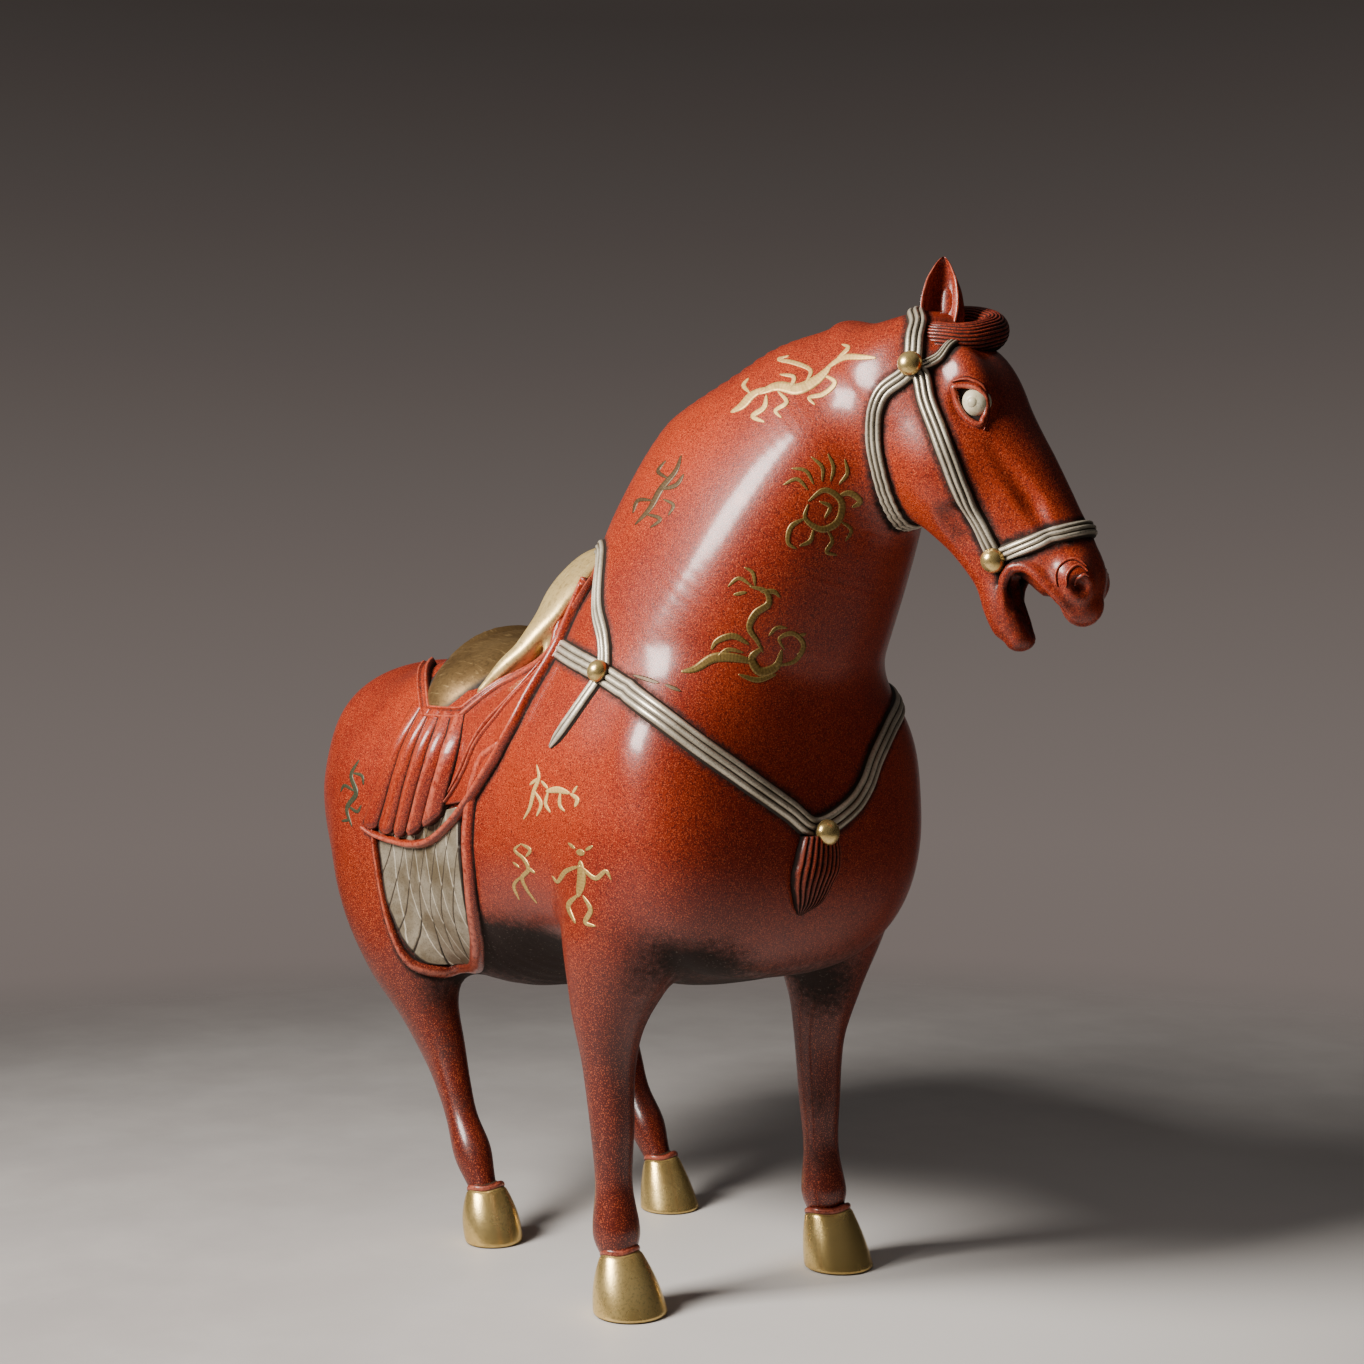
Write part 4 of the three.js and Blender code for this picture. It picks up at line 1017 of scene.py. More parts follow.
@dataclass(frozen=True)
class Lacquer:
    """Worn cinnabar lacquer with a fine bright and dark grain over dark metal."""

    name: str = "red_lacquer"
    orange: tuple = (0.35, 0.031, 0.006)
    red: tuple = (0.215, 0.015, 0.005)
    maroon: tuple = (0.060, 0.006, 0.004)
    speck: tuple = (0.80, 0.17, 0.06)
    rubbed: tuple = (0.66, 0.17, 0.10)
    # near-black laid for grime and painted shade
    grime_and_shade: tuple = (0.014, 0.006, 0.004)
    soot_and_shade_speck: tuple = (0.16, 0.13, 0.10)
    gloss: float = 0.40
    blotches: float = 17.0
    dusting: float = 420.0
    coarse_grain: float = 1150.0
    fine_grain: float = 2300.0
    legs_from: float = 0.205
    legs_to: float = 0.085

    def build(self) -> bpy.types.Material:
        """Makes the material.

        Returns:
            The material.
        """
        g = new_graph(self.name)
        crease, worn, height = g.layer("crease"), g.layer("worn"), g.axis("Z")
        blotch = g.noise(self.blotches, 4.0, 0.6)
        fine, grain = g.noise(self.fine_grain, 1.0, 0.5), g.noise(self.coarse_grain, 2.0, 0.6)
        dust = g.noise(self.dusting, 3.0, 0.7)
        color = g.mix(blotch.ramp(0.36, 0.66), self.red, self.orange)
        # darker maroon towards the bottom: partly the lacquer's own tone, partly painted shade
        low = height.ramp(self.legs_from, self.legs_to) * 0.86 + g.noise(34.0, 3.0).ramp(0.45, 0.75) * 0.18
        color = g.mix(low, color, self.maroon)
        color = g.mix(grain.ramp(0.52, 0.36) * 0.5 + fine.ramp(0.46, 0.34) * 0.35, color, self.maroon)
        color = g.mix(fine.ramp(0.55, 0.68) * 0.45, color, self.speck)
        color = g.mix(worn.ramp(0.45, 1.0) * dust.ramp(0.30, 0.6) * 0.5, color, self.rubbed)
        # the crease layer darkens the lacquer with grime and painted shade, near-black with pale specks
        stain_and_shade = (crease + (dust - 0.5) * 0.7 * crease.ramp(0.02, 0.35)).ramp(0.12, 0.85)
        soot_and_shade = g.mix(g.noise(900.0, 2.0, 0.6).ramp(0.62, 0.72) * 0.45, self.grime_and_shade, self.soot_and_shade_speck)
        color = g.mix(stain_and_shade, color, soot_and_shade)
        rough = self.gloss + (g.noise(60.0, 3.0) - 0.5) * 0.14 + stain_and_shade * 0.45
        shape = fine * 0.5 + grain * 0.5 + g.noise(480.0, 2.0) * 0.7
        return g.finish({
            "Base Color": color, "Roughness": rough, "Specular IOR Level": 0.28,
            "Coat Roughness": 0.17, "Coat Weight": (1 - stain_and_shade) * 0.42,
            "Normal": g.bump(shape, 0.00016, 0.55)})


@dataclass(frozen=True)
class Metal:
    """Worn metal: dark with grime and painted shade in its creases, bright where it is rubbed."""

    name: str
    base: tuple
    bright: tuple
    dark: tuple
    shine: float = 0.9
    rough: float = 0.34
    mottle: float = 240.0
    brushed: tuple = (1.0, 1.0, 1.0)
    scratches: float = 0.0
    spot: float = 0.35

    def build(self) -> bpy.types.Material:
        """Makes the material.

        Returns:
            The material.
        """
        g = new_graph(self.name)
        crease, worn = g.layer("crease"), g.layer("worn")
        cloud = g.noise(self.mottle * 0.2, 4.0, 0.6)
        grain = g.noise(self.mottle * 5, 3.0, 0.65)
        hair = g.noise(self.mottle * 6, 3.0, 0.6, g.stretched(self.brushed))
        color = g.mix(cloud.ramp(0.35, 0.7) * 0.35 + worn * 0.65, self.base, self.bright)
        color = g.mix(grain.ramp(0.52, 0.32) * self.spot, color, self.dark)
        color = g.mix(hair.ramp(0.56, 0.72) * self.scratches, color, self.bright)
        # the crease layer darkens the metal with grime and painted shade
        stain_and_shade = (crease + (grain - 0.5) * 0.4 * crease.ramp(0.02, 0.3)).ramp(0.15, 0.8)
        color = g.mix(stain_and_shade, color, self.dark)
        rough = self.rough + (cloud - 0.5) * 0.2 + (hair - 0.5) * 0.25 * self.scratches + stain_and_shade * 0.35
        shape = grain * 0.5 + hair * (0.5 + self.scratches)
        return g.finish({
            "Base Color": color, "Metallic": (1 - stain_and_shade) * self.shine, "Roughness": rough,
            "Normal": g.bump(shape, 0.0001, 0.6)})


@dataclass(frozen=True)
class EyeGlaze:
    """Cream paint with a greenish shade and fine stains."""

    name: str = "eye_cream"

    def build(self) -> bpy.types.Material:
        """Makes the material.

        Returns:
            The material.
        """
        g = new_graph(self.name)
        spots = g.noise(900.0, 3.0, 0.7)
        color = g.mix(g.noise(260.0, 2.0).ramp(0.35, 0.7), (0.62, 0.55, 0.36), (0.86, 0.80, 0.60))
        color = g.mix(spots.ramp(0.42, 0.28) * 0.4, color, (0.12, 0.09, 0.04))
        # painted shade at the iris's foot, from the crease layer
        color = g.mix(g.layer("crease").ramp(0.2, 0.9), color, (0.05, 0.03, 0.012))
        return g.finish({"Base Color": color, "Roughness": spots * 0.2 + 0.22,
                         "Normal": g.bump(spots, 0.0001, 0.4)})


@dataclass(frozen=True)
class Ground:
    """Pale smooth floor with faint marks, crumbs and a painted pool of light, which melts away towards the
    background.
    """

    near: float = 0.50
    far: float = 0.95
    pale: tuple = (0.40, 0.38, 0.37)
    light: tuple = (0.48, 0.46, 0.445)
    crumb: tuple = (0.20, 0.16, 0.125)
    # colour and place of a paler patch painted where the lamp's light pools
    light_pool: tuple = (0.86, 0.83, 0.80)
    light_pool_at: tuple = (0.17, 0.14, 0.0)

    def build(self) -> bpy.types.Material:
        """Makes the material.

        Returns:
            The material.
        """
        g = new_graph("pale_floor")
        color = g.mix(g.noise(9.0, 5.0, 0.65).ramp(0.3, 0.75), self.pale, self.light)
        patch = g.noise(14.0, 2.0).ramp(0.5, 0.7)
        color = g.mix(g.noise(190.0, 3.0, 0.7).ramp(0.66, 0.76) * patch * 0.6, color, self.crumb)
        # painted pool of light, fading out from its middle
        from_light_pool = g.node("ShaderNodeVectorMath", {"operation": "DISTANCE"},
                           {0: g.place, 1: self.light_pool_at}, "Value")
        color = g.mix(from_light_pool.ramp(0.46, 0.0), color, self.light_pool)
        away = g.node("ShaderNodeVectorMath", {"operation": "LENGTH"}, {0: g.place}, "Value")
        return g.finish({
            "Base Color": color, "Roughness": 0.55, "Alpha": 1 - away.ramp(self.near, self.far),
            "Normal": g.bump(g.noise(300.0, 3.0), 0.0001, 0.4)})


class Finish(Enum):
    """The horse's finishes; each name is the record's material slot in capitals."""

    RED_LACQUER = Lacquer()
    SILVER_TRIM = Metal("silver_trim", (0.19, 0.145, 0.085), (0.88, 0.80, 0.64), (0.020, 0.011, 0.005),
                        shine=0.45, rough=0.34, mottle=260.0, spot=0.35)
    GILT_BRONZE = Metal("gilt_bronze", (0.60, 0.39, 0.11), (0.92, 0.70, 0.30), (0.03, 0.017, 0.006),
                        shine=0.82, rough=0.27, mottle=200.0, spot=0.3)
    SADDLE_BRASS = Metal("saddle_brass", (0.15, 0.085, 0.030), (0.36, 0.24, 0.10), (0.016, 0.009, 0.005),
                         shine=0.7, rough=0.44, mottle=120.0, brushed=(0.12, 1.0, 0.6), scratches=0.7)
    POMMEL_GOLD = Metal("pommel_gold", (0.66, 0.45, 0.16), (0.98, 0.82, 0.45), (0.07, 0.04, 0.015),
                        shine=0.55, rough=0.36, mottle=110.0, brushed=(1.0, 0.25, 0.15), scratches=0.45)
    EMBLEM_GOLD = Metal("emblem_gold", (0.46, 0.29, 0.08), (0.80, 0.55, 0.18), (0.10, 0.03, 0.012),
                        shine=0.6, rough=0.38, mottle=300.0, spot=0.45)
    EYE_CREAM = EyeGlaze()

    @property
    def slot(self) -> str:
        """The record's material slot."""
        return self.name.lower()


class Tone(Enum):
    """The metals of the painted figures."""

    GOLD = Finish.EMBLEM_GOLD.value
    BRIGHT = Metal("emblem_bright", (0.58, 0.34, 0.09), (0.86, 0.60, 0.22), (0.20, 0.06, 0.02),
                   shine=0.35, rough=0.48, mottle=300.0, spot=0.3)
    OLIVE = Metal("emblem_olive", (0.13, 0.085, 0.020), (0.34, 0.22, 0.06), (0.06, 0.02, 0.01),
                  shine=0.5, rough=0.4, mottle=300.0, spot=0.5)
    DIM = Metal("emblem_dim", (0.060, 0.030, 0.014), (0.13, 0.085, 0.035), (0.03, 0.012, 0.008),
                shine=0.4, rough=0.45, mottle=300.0, spot=0.5)
    GREEN = Metal("emblem_green", (0.030, 0.040, 0.022), (0.075, 0.080, 0.040), (0.02, 0.012, 0.008),
                  shine=0.3, rough=0.45, mottle=300.0, spot=0.5)


class Finishes:
    """The materials, each made once."""

    def __init__(self) -> None:
        """Makes every finish and tone."""
        self.made = {f: f.value.build() for f in Finish}
        self.tones = {t: self.made[Finish.EMBLEM_GOLD] if t is Tone.GOLD else t.value.build() for t in Tone}

    def dress(self, shape: Shape, name: str, finish: Finish) -> bpy.types.Object:
        """Makes a piece of a mesh in one of the finishes."""
        return place(shape, name, self.made[finish], finish.slot)


# ---- the horse ----

@dataclass
class Body:
    """The bare horse in one skin, with its grime, its painted shade and its rubbed places."""

    form: HorseForm
    finishes: Finishes
    seams: list
    cell: float = 2.1
    head_cell: float = 1.15
    y_cell: float = 1.9
    quick_cell: float = 1.8
    # dark patches: soot on the chest, belly and legs, and painted shade under the belly and on the far
    # foreleg's inner side
    soot_and_shade: tuple = (
        (-37, -53, 131, 15, 1.0), (-26, -40, 124, 22, 1.0), (-4, -46, 118, 20, 0.9), (20, -34, 112, 20, 0.8),
        (67, -71, 147, 12, 0.45), (77, -58, 132, 18, 0.7), (88, -40, 130, 18, 0.6), (97, -38, 140, 14, 0.4),
        (60, 0, 122, 34, 0.8), (-93, -51, 98, 14, 0.9), (-87, -52, 77, 11, 0.9), (-78, -49, 56, 9, 0.8),
        (-67, -51, 37, 7, 0.7), (-100, -50, 116, 16, 0.6), (58, 41, 110, 20, 0.95), (52, 44, 67, 13, 0.95),
        (52, 46, 43, 12, 0.95), (60, 36, 130, 24, 0.7), (-73, 42, 46, 13, 0.7), (49, -69, 115, 9, 0.3),
        (54, -40, 112, 14, 0.8), (52, -42, 88, 10, 0.8), (44, -74, 164, 10, 0.3), (-91, -65, 144, 9, 0.5),
        (107, 20, 152, 20, 0.4), (-56, -52, 125, 18, 0.9), (-30, 0, 105, 50, 0.8), (-120, 0, 120, 45, 0.8),
        (49, -46, 26, 6, 0.4), (47, 50, 24, 7, 0.5))
    # painted shade on the muzzle, under the jaw and in hollows of the face
    face_shade: tuple = (
        (88, 0, -22, 22, 0.7), (88, 0, -41, 15, 0.75), (62, 0, -30, 20, 0.25),
        (52, -14, -40, 8, 0.8), (52, 14, -40, 8, 0.8), (-4, -18, -8, 8, 0.5))
    rubs: tuple = ((104, -34, 306, 7, 0.9), (50, -60, 65, 3.5, 1.0))

    def build(self) -> None:
        """Makes the skin and has it stand for the cast solid."""
        quick = 1.0
        axes = [fine_planes(-216.0, 216.0, self.cell * quick, self.head_cell * quick, 124.0),
                np.arange(-92.0, 92.0, self.y_cell * quick),
                fine_planes(14.0, 386.0, self.cell * quick, self.head_cell * quick, 262.0)]
        points, faces, out = self.form.mesh(self.form.skin, axes)
        worn = sum(strength * np.exp(-2.0 * self._away(points, spot)) for *spot, strength in self.rubs)
        shape = Shape(points, faces, self._creases(points, out), worn)
        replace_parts(self.finishes.dress(shape, "horse_body", Finish.RED_LACQUER), "horse")

    @staticmethod
    def _away(points: Array, spot: list) -> Array:
        """Squared distance from a spot, as a share of its radius."""
        x, y, z, radius = spot
        return ((points - [x, y, z]) ** 2).sum(1) / radius ** 2

    def _creases(self, points: Array, out: Array) -> Array:
        """Painted shade in hollows, under the belly and on the face, grime and painted shade beside the
        straps, and dark patches of soot and painted shade.

        Args:
            points: skin points.
            out: outward directions there.

        Returns:
            One value a point.
        """
        closed = np.zeros(len(points))
        # painted shade that deepens in the skin's hollows
        for reach in (3.0, 8.0):
            closed += np.clip(1 - self.form.skin(points + out * reach) / reach, 0, 1) * 0.55
        # painted shade on the skin that faces down, low on the body
        under = smoothstep(0.25, 0.95, -out[:, 2]) * smoothstep(60, 110, points[:, 2]) * 0.5
        crease = np.clip(closed * 0.9 - 0.12, 0, 1) + under * (points[:, 2] < 150)
        on_face = [(*on_head(spot)[0], radius, strength) for *spot, radius, strength in self.face_shade]
        for *spot, strength in (*self.soot_and_shade, *on_face):
            crease += strength * 0.5 * np.exp(-1.2 * self._away(points, spot))
        # grime and painted shade in a narrow band beside each strap and raised edge
        seam_grime_and_shade = np.zeros(len(points))
        for line, half in self.seams:
            tree = kdtree.KDTree(len(line))
            for i, spot in enumerate(line):
                tree.insert(spot, i)
            tree.balance()
            near = np.flatnonzero(((points > line.min(0) - 12) & (points < line.max(0) + 12)).all(1))
            gap = np.array([tree.find(points[i])[2] for i in near])
            seam_grime_and_shade[near] = np.maximum(seam_grime_and_shade[near], smoothstep(half + 3.4, half + 0.4, gap))
        return crease + 0.62 * seam_grime_and_shade


@dataclass
class Hooves:
    """Four gilt bell-shaped hooves on flat soles, under red coronets."""

    finishes: Finishes
    height: float = 21.0
    lean: float = 6.5
    sides: int = 72
    sizes: tuple = (
        ("hoof_right_fore", FORE_X, -FORE_Y, 7.6, 14.2, 1.5),
        ("hoof_left_fore", FORE_X, FORE_Y, 9.4, 14.2, 0.9),
        ("hoof_right_hind", HIND_X, -HIND_Y, 8.0, 12.1, 1.9),
        ("hoof_left_hind", HIND_X, HIND_Y, 7.6, 13.4, 0.8))

    def build(self) -> None:
        """Makes the four hooves and their coronets."""
        for name, x, y, top, bottom, bulge in self.sizes:
            self.finishes.dress(self._hoof(x, y, top, bottom, bulge), name, Finish.GILT_BRONZE)
            self.finishes.dress(self._coronet(x, y, top), name.replace("hoof", "coronet"), Finish.RED_LACQUER)

    def _edge(self, turn: Array) -> Array:
        """The wavy height of the hoof's upper edge round its leg."""
        return self.height + 1.5 * np.cos(turn) + 0.5 * np.sin(3 * turn)

    def _hoof(self, x: float, y: float, top: float, bottom: float, bulge: float) -> Shape:
        """One hoof: a bell that leans back, with a low heel notch.

        Args:
            x: its middle along the body, mm.
            y: its middle across the body, mm.
            top: radius at its upper edge.
            bottom: radius at the sole.
            bulge: how far its side swells.

        Returns:
            The mesh.
        """
        turn = np.linspace(0, 2 * np.pi, self.sides, endpoint=False)
        rings, crease, worn = [], [], []
        # the third value darkens the sole's edge and the top under the coronet with grime and painted shade
        shares = [(0.0, -0.7, 0.7), (0.012, -0.15, 0.35)]
        shares += [(t, 0.0, 0.25 * (1 - t) ** 6) for t in np.linspace(0.05, 0.95, 24)]
        shares += [(0.975, -0.25, 0.3), (1.0, -0.9, 0.9), (1.08, -2.6, 1.0)]
        for t, inset, grime_and_shade in shares:
            swell = math.sin(math.pi * min(t, 1.0))
            wide = bottom + (top - bottom) * t ** 0.92 + bulge * swell ** 0.8 + inset
            heel = 1 - 0.06 * np.exp(-((turn - np.pi) / 0.3) ** 2) * (1 - min(t, 1.0))
            r = wide * heel * (1 + 0.03 * np.cos(turn) * (1 - t))
            z = self._edge(turn) * t
            rings.append(np.stack([x - self.lean * t + r * np.cos(turn), y + r * np.sin(turn), z], 1))
            crease.append(np.full(self.sides, grime_and_shade))
            worn.append(np.full(self.sides, 0.35 + 0.4 * swell))
        return tube(np.array(rings), crease=np.array(crease), worn=np.array(worn))

    def _coronet(self, x: float, y: float, top: float) -> Shape:
        """The red roll of skin over the hoof.

        Args:
            x: the hoof's middle along the body, mm.
            y: the hoof's middle across the body, mm.
            top: radius of the hoof's upper edge.

        Returns:
            The mesh.
        """
        turn = np.linspace(0, 2 * np.pi, self.sides, endpoint=False)
        rings, crease, worn = [], [], []
        for a in np.linspace(-0.5, 1.3, 15) * np.pi:
            r = top - 1.1 + 1.3 * math.cos(a - 0.5)
            z = self._edge(turn) + 0.5 + 1.5 * math.sin(a - 0.5)
            rings.append(np.stack([x - self.lean - 0.3 + r * np.cos(turn), y + r * np.sin(turn), z], 1))
            # painted shade on the underside of the roll
            crease.append(np.full(self.sides, max(0.0, -math.sin(a - 0.5)) * 0.9))
            worn.append(np.full(self.sides, max(0.0, math.cos(a - 0.7))))
        return tube(np.array(rings), crease=np.array(crease), worn=np.array(worn))


def ball(middle: Array, radius: float, out: Array = (0, 0, 1), flat: float = 1.0, sides: int = 40,
         foot: float = 0.0) -> Shape:
    """A ball, flattened along one direction.

    Args:
        middle: its middle.
        radius: its radius across.
        out: the direction that it faces.
        flat: share of the radius that is left along that direction.
        sides: points round it.
        foot: how much painted shade it gets towards its underside.

    Returns:
        The mesh.
    """
    out = unit(np.asarray(out, float))
    a = unit(np.cross(out, [0.31, 0.77, 0.55]))
    b = np.cross(out, a)
    tilt = np.pi * np.clip(np.linspace(0, 1, sides // 2 + 1), 0.006, 0.994)[:, None]
    turn = np.linspace(0, 2 * np.pi, sides, endpoint=False)[None]
    flat_part = radius * np.sin(tilt)
    rings = (np.asarray(middle, float) + (flat_part * np.cos(turn))[..., None] * a
             + (flat_part * np.sin(turn))[..., None] * b
             - (radius * flat * np.cos(tilt) * np.ones_like(turn))[..., None] * out)
    # painted shade towards the underside
    grime_and_shade = foot * smoothstep(0.25, -0.2, -np.cos(tilt)) * np.ones_like(turn)
    return tube(rings, crease=grime_and_shade, worn=0.5 + 0.5 * smoothstep(0.2, 0.9, -np.cos(tilt)) * np.ones_like(turn))


@dataclass
class HeadPieces:
    """Eyes with their lids, wrinkles, ears and the ring of bound hair."""

    form: HorseForm
    finishes: Finishes
    eye: tuple = (16.7, 18.2, -10.0)
    eye_radius: float = 5.4
    almond: tuple = ((9.1, -12.6), (10.6, -10.8), (13.2, -8.1), (16.7, -5.9), (19.3, -5.9), (21.7, -8.1),
                     (23.6, -11.1), (21.7, -12.9), (17.5, -14.0), (13.2, -13.7))
    fold: tuple = ((6.3, -13.0), (8.2, -9.0), (11.2, -5.2), (14.8, -2.9), (18.3, -3.0), (21.6, -4.9),
                   (25.0, -7.9), (27.4, -10.5))
    wrinkles: tuple = (
        ((86.5, -16.2), (82.5, -14.0), (81.3, -10.5), (82.3, -7.4), (86.0, -5.8)),
        ((88.0, -15.0), (85.0, -13.0), (83.9, -10.3), (84.8, -7.8), (87.6, -6.6)),
        ((89.0, -13.4), (87.3, -12.0), (86.4, -9.9), (87.0, -8.0), (89.0, -7.0)))
    coil_middle: tuple = (158.0, 24.2, 365.4)
    coil_normal: tuple = (0.335, -0.319, 0.886)
    coil_radius: float = 11.5
    coil_thick: float = 6.0
    strands: int = 28
    ear_base: tuple = (155.8, 14.7, 361.0)
    ear_tip: tuple = (155.0, 19.0, 392.0)
    far_ear_drop: float = 3.5
    ear_widths: tuple = ((0, 4.6), (0.2, 6.1), (0.45, 6.9), (0.68, 5.9), (0.86, 3.7), (0.96, 1.8), (1, 0.4))

    def build(self) -> None:
        """Makes every piece of the head."""
        for side, word in SIDES:
            self._eye(side, word)
            self._wrinkles(side, word)
            ear = self._ear(side)
            self.finishes.dress(ear if side < 0 else ear.flipped(), f"ear_{word}", Finish.RED_LACQUER)
        self.finishes.dress(self._coil(), "forelock_ring", Finish.RED_LACQUER)

    def _face(self, rows: tuple, side: int, u: float) -> Array:
        """Points beside the face from (s, w) pairs."""
        return on_head([[s, side * u, w] for s, w in rows])

    def _eye(self, side: int, word: str) -> None:
        """An eyeball with a raised pupil in an almond of painted shade, with lids and a fold over it.

        Args:
            side: -1 for the right side, 1 for the left.
            word: the side in words.
        """
        s, u, w = self.eye
        line = even(self._face(self.almond, side, 20.0), 0.5, loop=True)
        middle = line.mean(0)
        away = line - middle
        lid = middle + away * (1 + 1.15 / np.linalg.norm(away, axis=1, keepdims=True))
        rings = np.linspace(1.08, 0.0, 9)[:, None, None] * away[None] + middle
        at, out = self.form.settle(rings, steps=4)
        if side < 0:
            at, out = at[:, ::-1], out[:, ::-1]
        self.finishes.dress(self._disc(at, out), f"eye_socket_{word}", Finish.RED_LACQUER)
        middle_at, middle_out = self.form.settle(on_head([s, side * u, w]))
        look = unit(middle_out[0] + 0.25 * HEAD_LEFT * side)
        heart = middle_at[0] - look * 1.5
        eyeball = ball(heart, self.eye_radius, look, 0.86, 56)
        iris = ball(heart + look * self.eye_radius * 0.66, 2.15, look, 0.72, 40, foot=0.75)
        self.finishes.dress(eyeball.plus(iris), f"eye_{word}", Finish.EYE_CREAM)
        lids = sweep(self.form, lid[::6 * side], 2.9, Profile.roll(1.7, 0.2, 0.55), pitch=0.5, loop=True)
        fold = sweep(self.form, self._face(self.fold, side, 21.0)[::side], 2.0, Profile.roll(0.8, 0.3, 0.9),
                     pitch=0.5, widths=[0.4, 0.9, 1, 1, 1, 0.8, 0.3])
        self.finishes.dress(lids.plus(fold), f"eyelids_{word}", Finish.RED_LACQUER)

    @staticmethod
    def _disc(at: Array, out: Array) -> Shape:
        """A thin almond of painted shade from rings that shrink to its middle.

        Args:
            at: skin points, rings by points by 3.
            out: outward directions there.

        Returns:
            The mesh.
        """
        top = at[:-1] + out[:-1] * 0.12
        low = (at[0] - out[0] * 0.8)[None]
        rings = np.concatenate([low, top])
        # the whole almond is painted shade
        return tube(rings, crease=np.ones((len(rings), rings.shape[1])))

    def _wrinkles(self, side: int, word: str) -> None:
        """Nested folds of skin behind the nostril.

        Args:
            side: -1 for the right side, 1 for the left.
            word: the side in words.
        """
        whole = None
        for rows in self.wrinkles:
            guides = self._face(rows, side, 11.0)
            one = sweep(self.form, guides[::side], 1.5, Profile.roll(0.65, 0.3, 0.9), pitch=0.5,
                        widths=[0.3, 1, 1, 1, 0.4])
            whole = one if whole is None else whole.plus(one)
        self.finishes.dress(whole, f"nostril_folds_{word}", Finish.RED_LACQUER)

    def _coil(self) -> Shape:
        """The ring of bound hair, with its strands.

        Returns:
            The mesh.
        """
        normal = unit(np.array(self.coil_normal))
        start = unit(np.cross([1.0, 0.0, 0.0], normal))
        third = np.cross(normal, start)
        a = np.linspace(0, 2 * np.pi, 260, endpoint=False)[:, None]
        turn = np.linspace(0, 2 * np.pi, self.strands * 9, endpoint=False)[None]
        lean = turn + 0.10 * np.sin(2 * a + 0.7) + 0.05 * np.sin(5 * a)
        wave = np.abs(np.sin(self.strands * lean / 2)) ** 0.7
        thick = self.coil_thick * (1 + 0.07 * np.cos(a - 1.0)) + 0.5 * (wave - 1)
        out = np.cos(a)[..., None] * start + np.sin(a)[..., None] * third
        rings = (np.array(self.coil_middle) + out * (self.coil_radius + thick * np.cos(turn))[..., None]
                 - normal * (thick * np.sin(turn))[..., None])
        # painted shade under the ring and in the grooves between strands, over a darker base tone
        under = smoothstep(0.0, 0.9, np.sin(turn)) * 0.7
        return tube(rings, loop=True, crease=0.26 + (1 - wave) * 0.8 + under, worn=wave * 0.5)

    def _ear(self, side: int) -> Shape:
        """A pricked ear, a leaf with a hollow that faces outward.

        Args:
            side: -1 for the right side, 1 for the left.

        Returns:
            The mesh.
        """
        base, tip = np.array(self.ear_base), np.array(self.ear_tip)
        axis = tip - base
        opening = np.array([0.73, -0.68, 0.0])
        opening = unit(opening - axis * (opening @ axis) / (axis @ axis))
        across = np.cross(unit(axis), opening)
        t = np.linspace(0, 1, 44)
        rows = np.array(self.ear_widths)
        curve = spline(np.column_stack([rows, 0 * rows[:, 0]]), np.linspace(0, 1, 300))
        half = np.interp(t, curve[:, 0], curve[:, 1])[:, None, None]
        at = base + t[:, None, None] * axis
        turn = np.linspace(0, np.pi, 27)[None, :, None]
        back = at + across * half * np.cos(turn) - opening * half * 0.95 * np.sin(turn)
        turn = np.pi * (1 - np.linspace(0.04, 0.96, 25))[None, :, None]
        deep_in = 0.5 - half * 0.75 * np.sin(turn) ** 0.7
        hollow = at + across * 0.84 * half * np.cos(turn) + opening * deep_in
        rings = np.concatenate([back, hollow], 1)
        # painted shade deep in the ear's hollow
        deep = np.sin(turn[..., 0]) ** 2 * (1 - 0.6 * t[:, None])
        crease = np.concatenate([np.zeros((len(t), 27)), 0.45 * deep], 1)
        edge = np.zeros(52)
        edge[[0, 1, 25, 26, 27, 28, 50, 51]] = 1.0
        if side > 0:
            rel = rings - FOREHEAD
            rings = rel - 2 * (rel @ HEAD_LEFT)[..., None] * HEAD_LEFT + FOREHEAD
            rings = rings - [0.0, 0.0, self.far_ear_drop]
        return tube(rings, crease=crease, worn=np.broadcast_to(edge, (len(t), 52)))


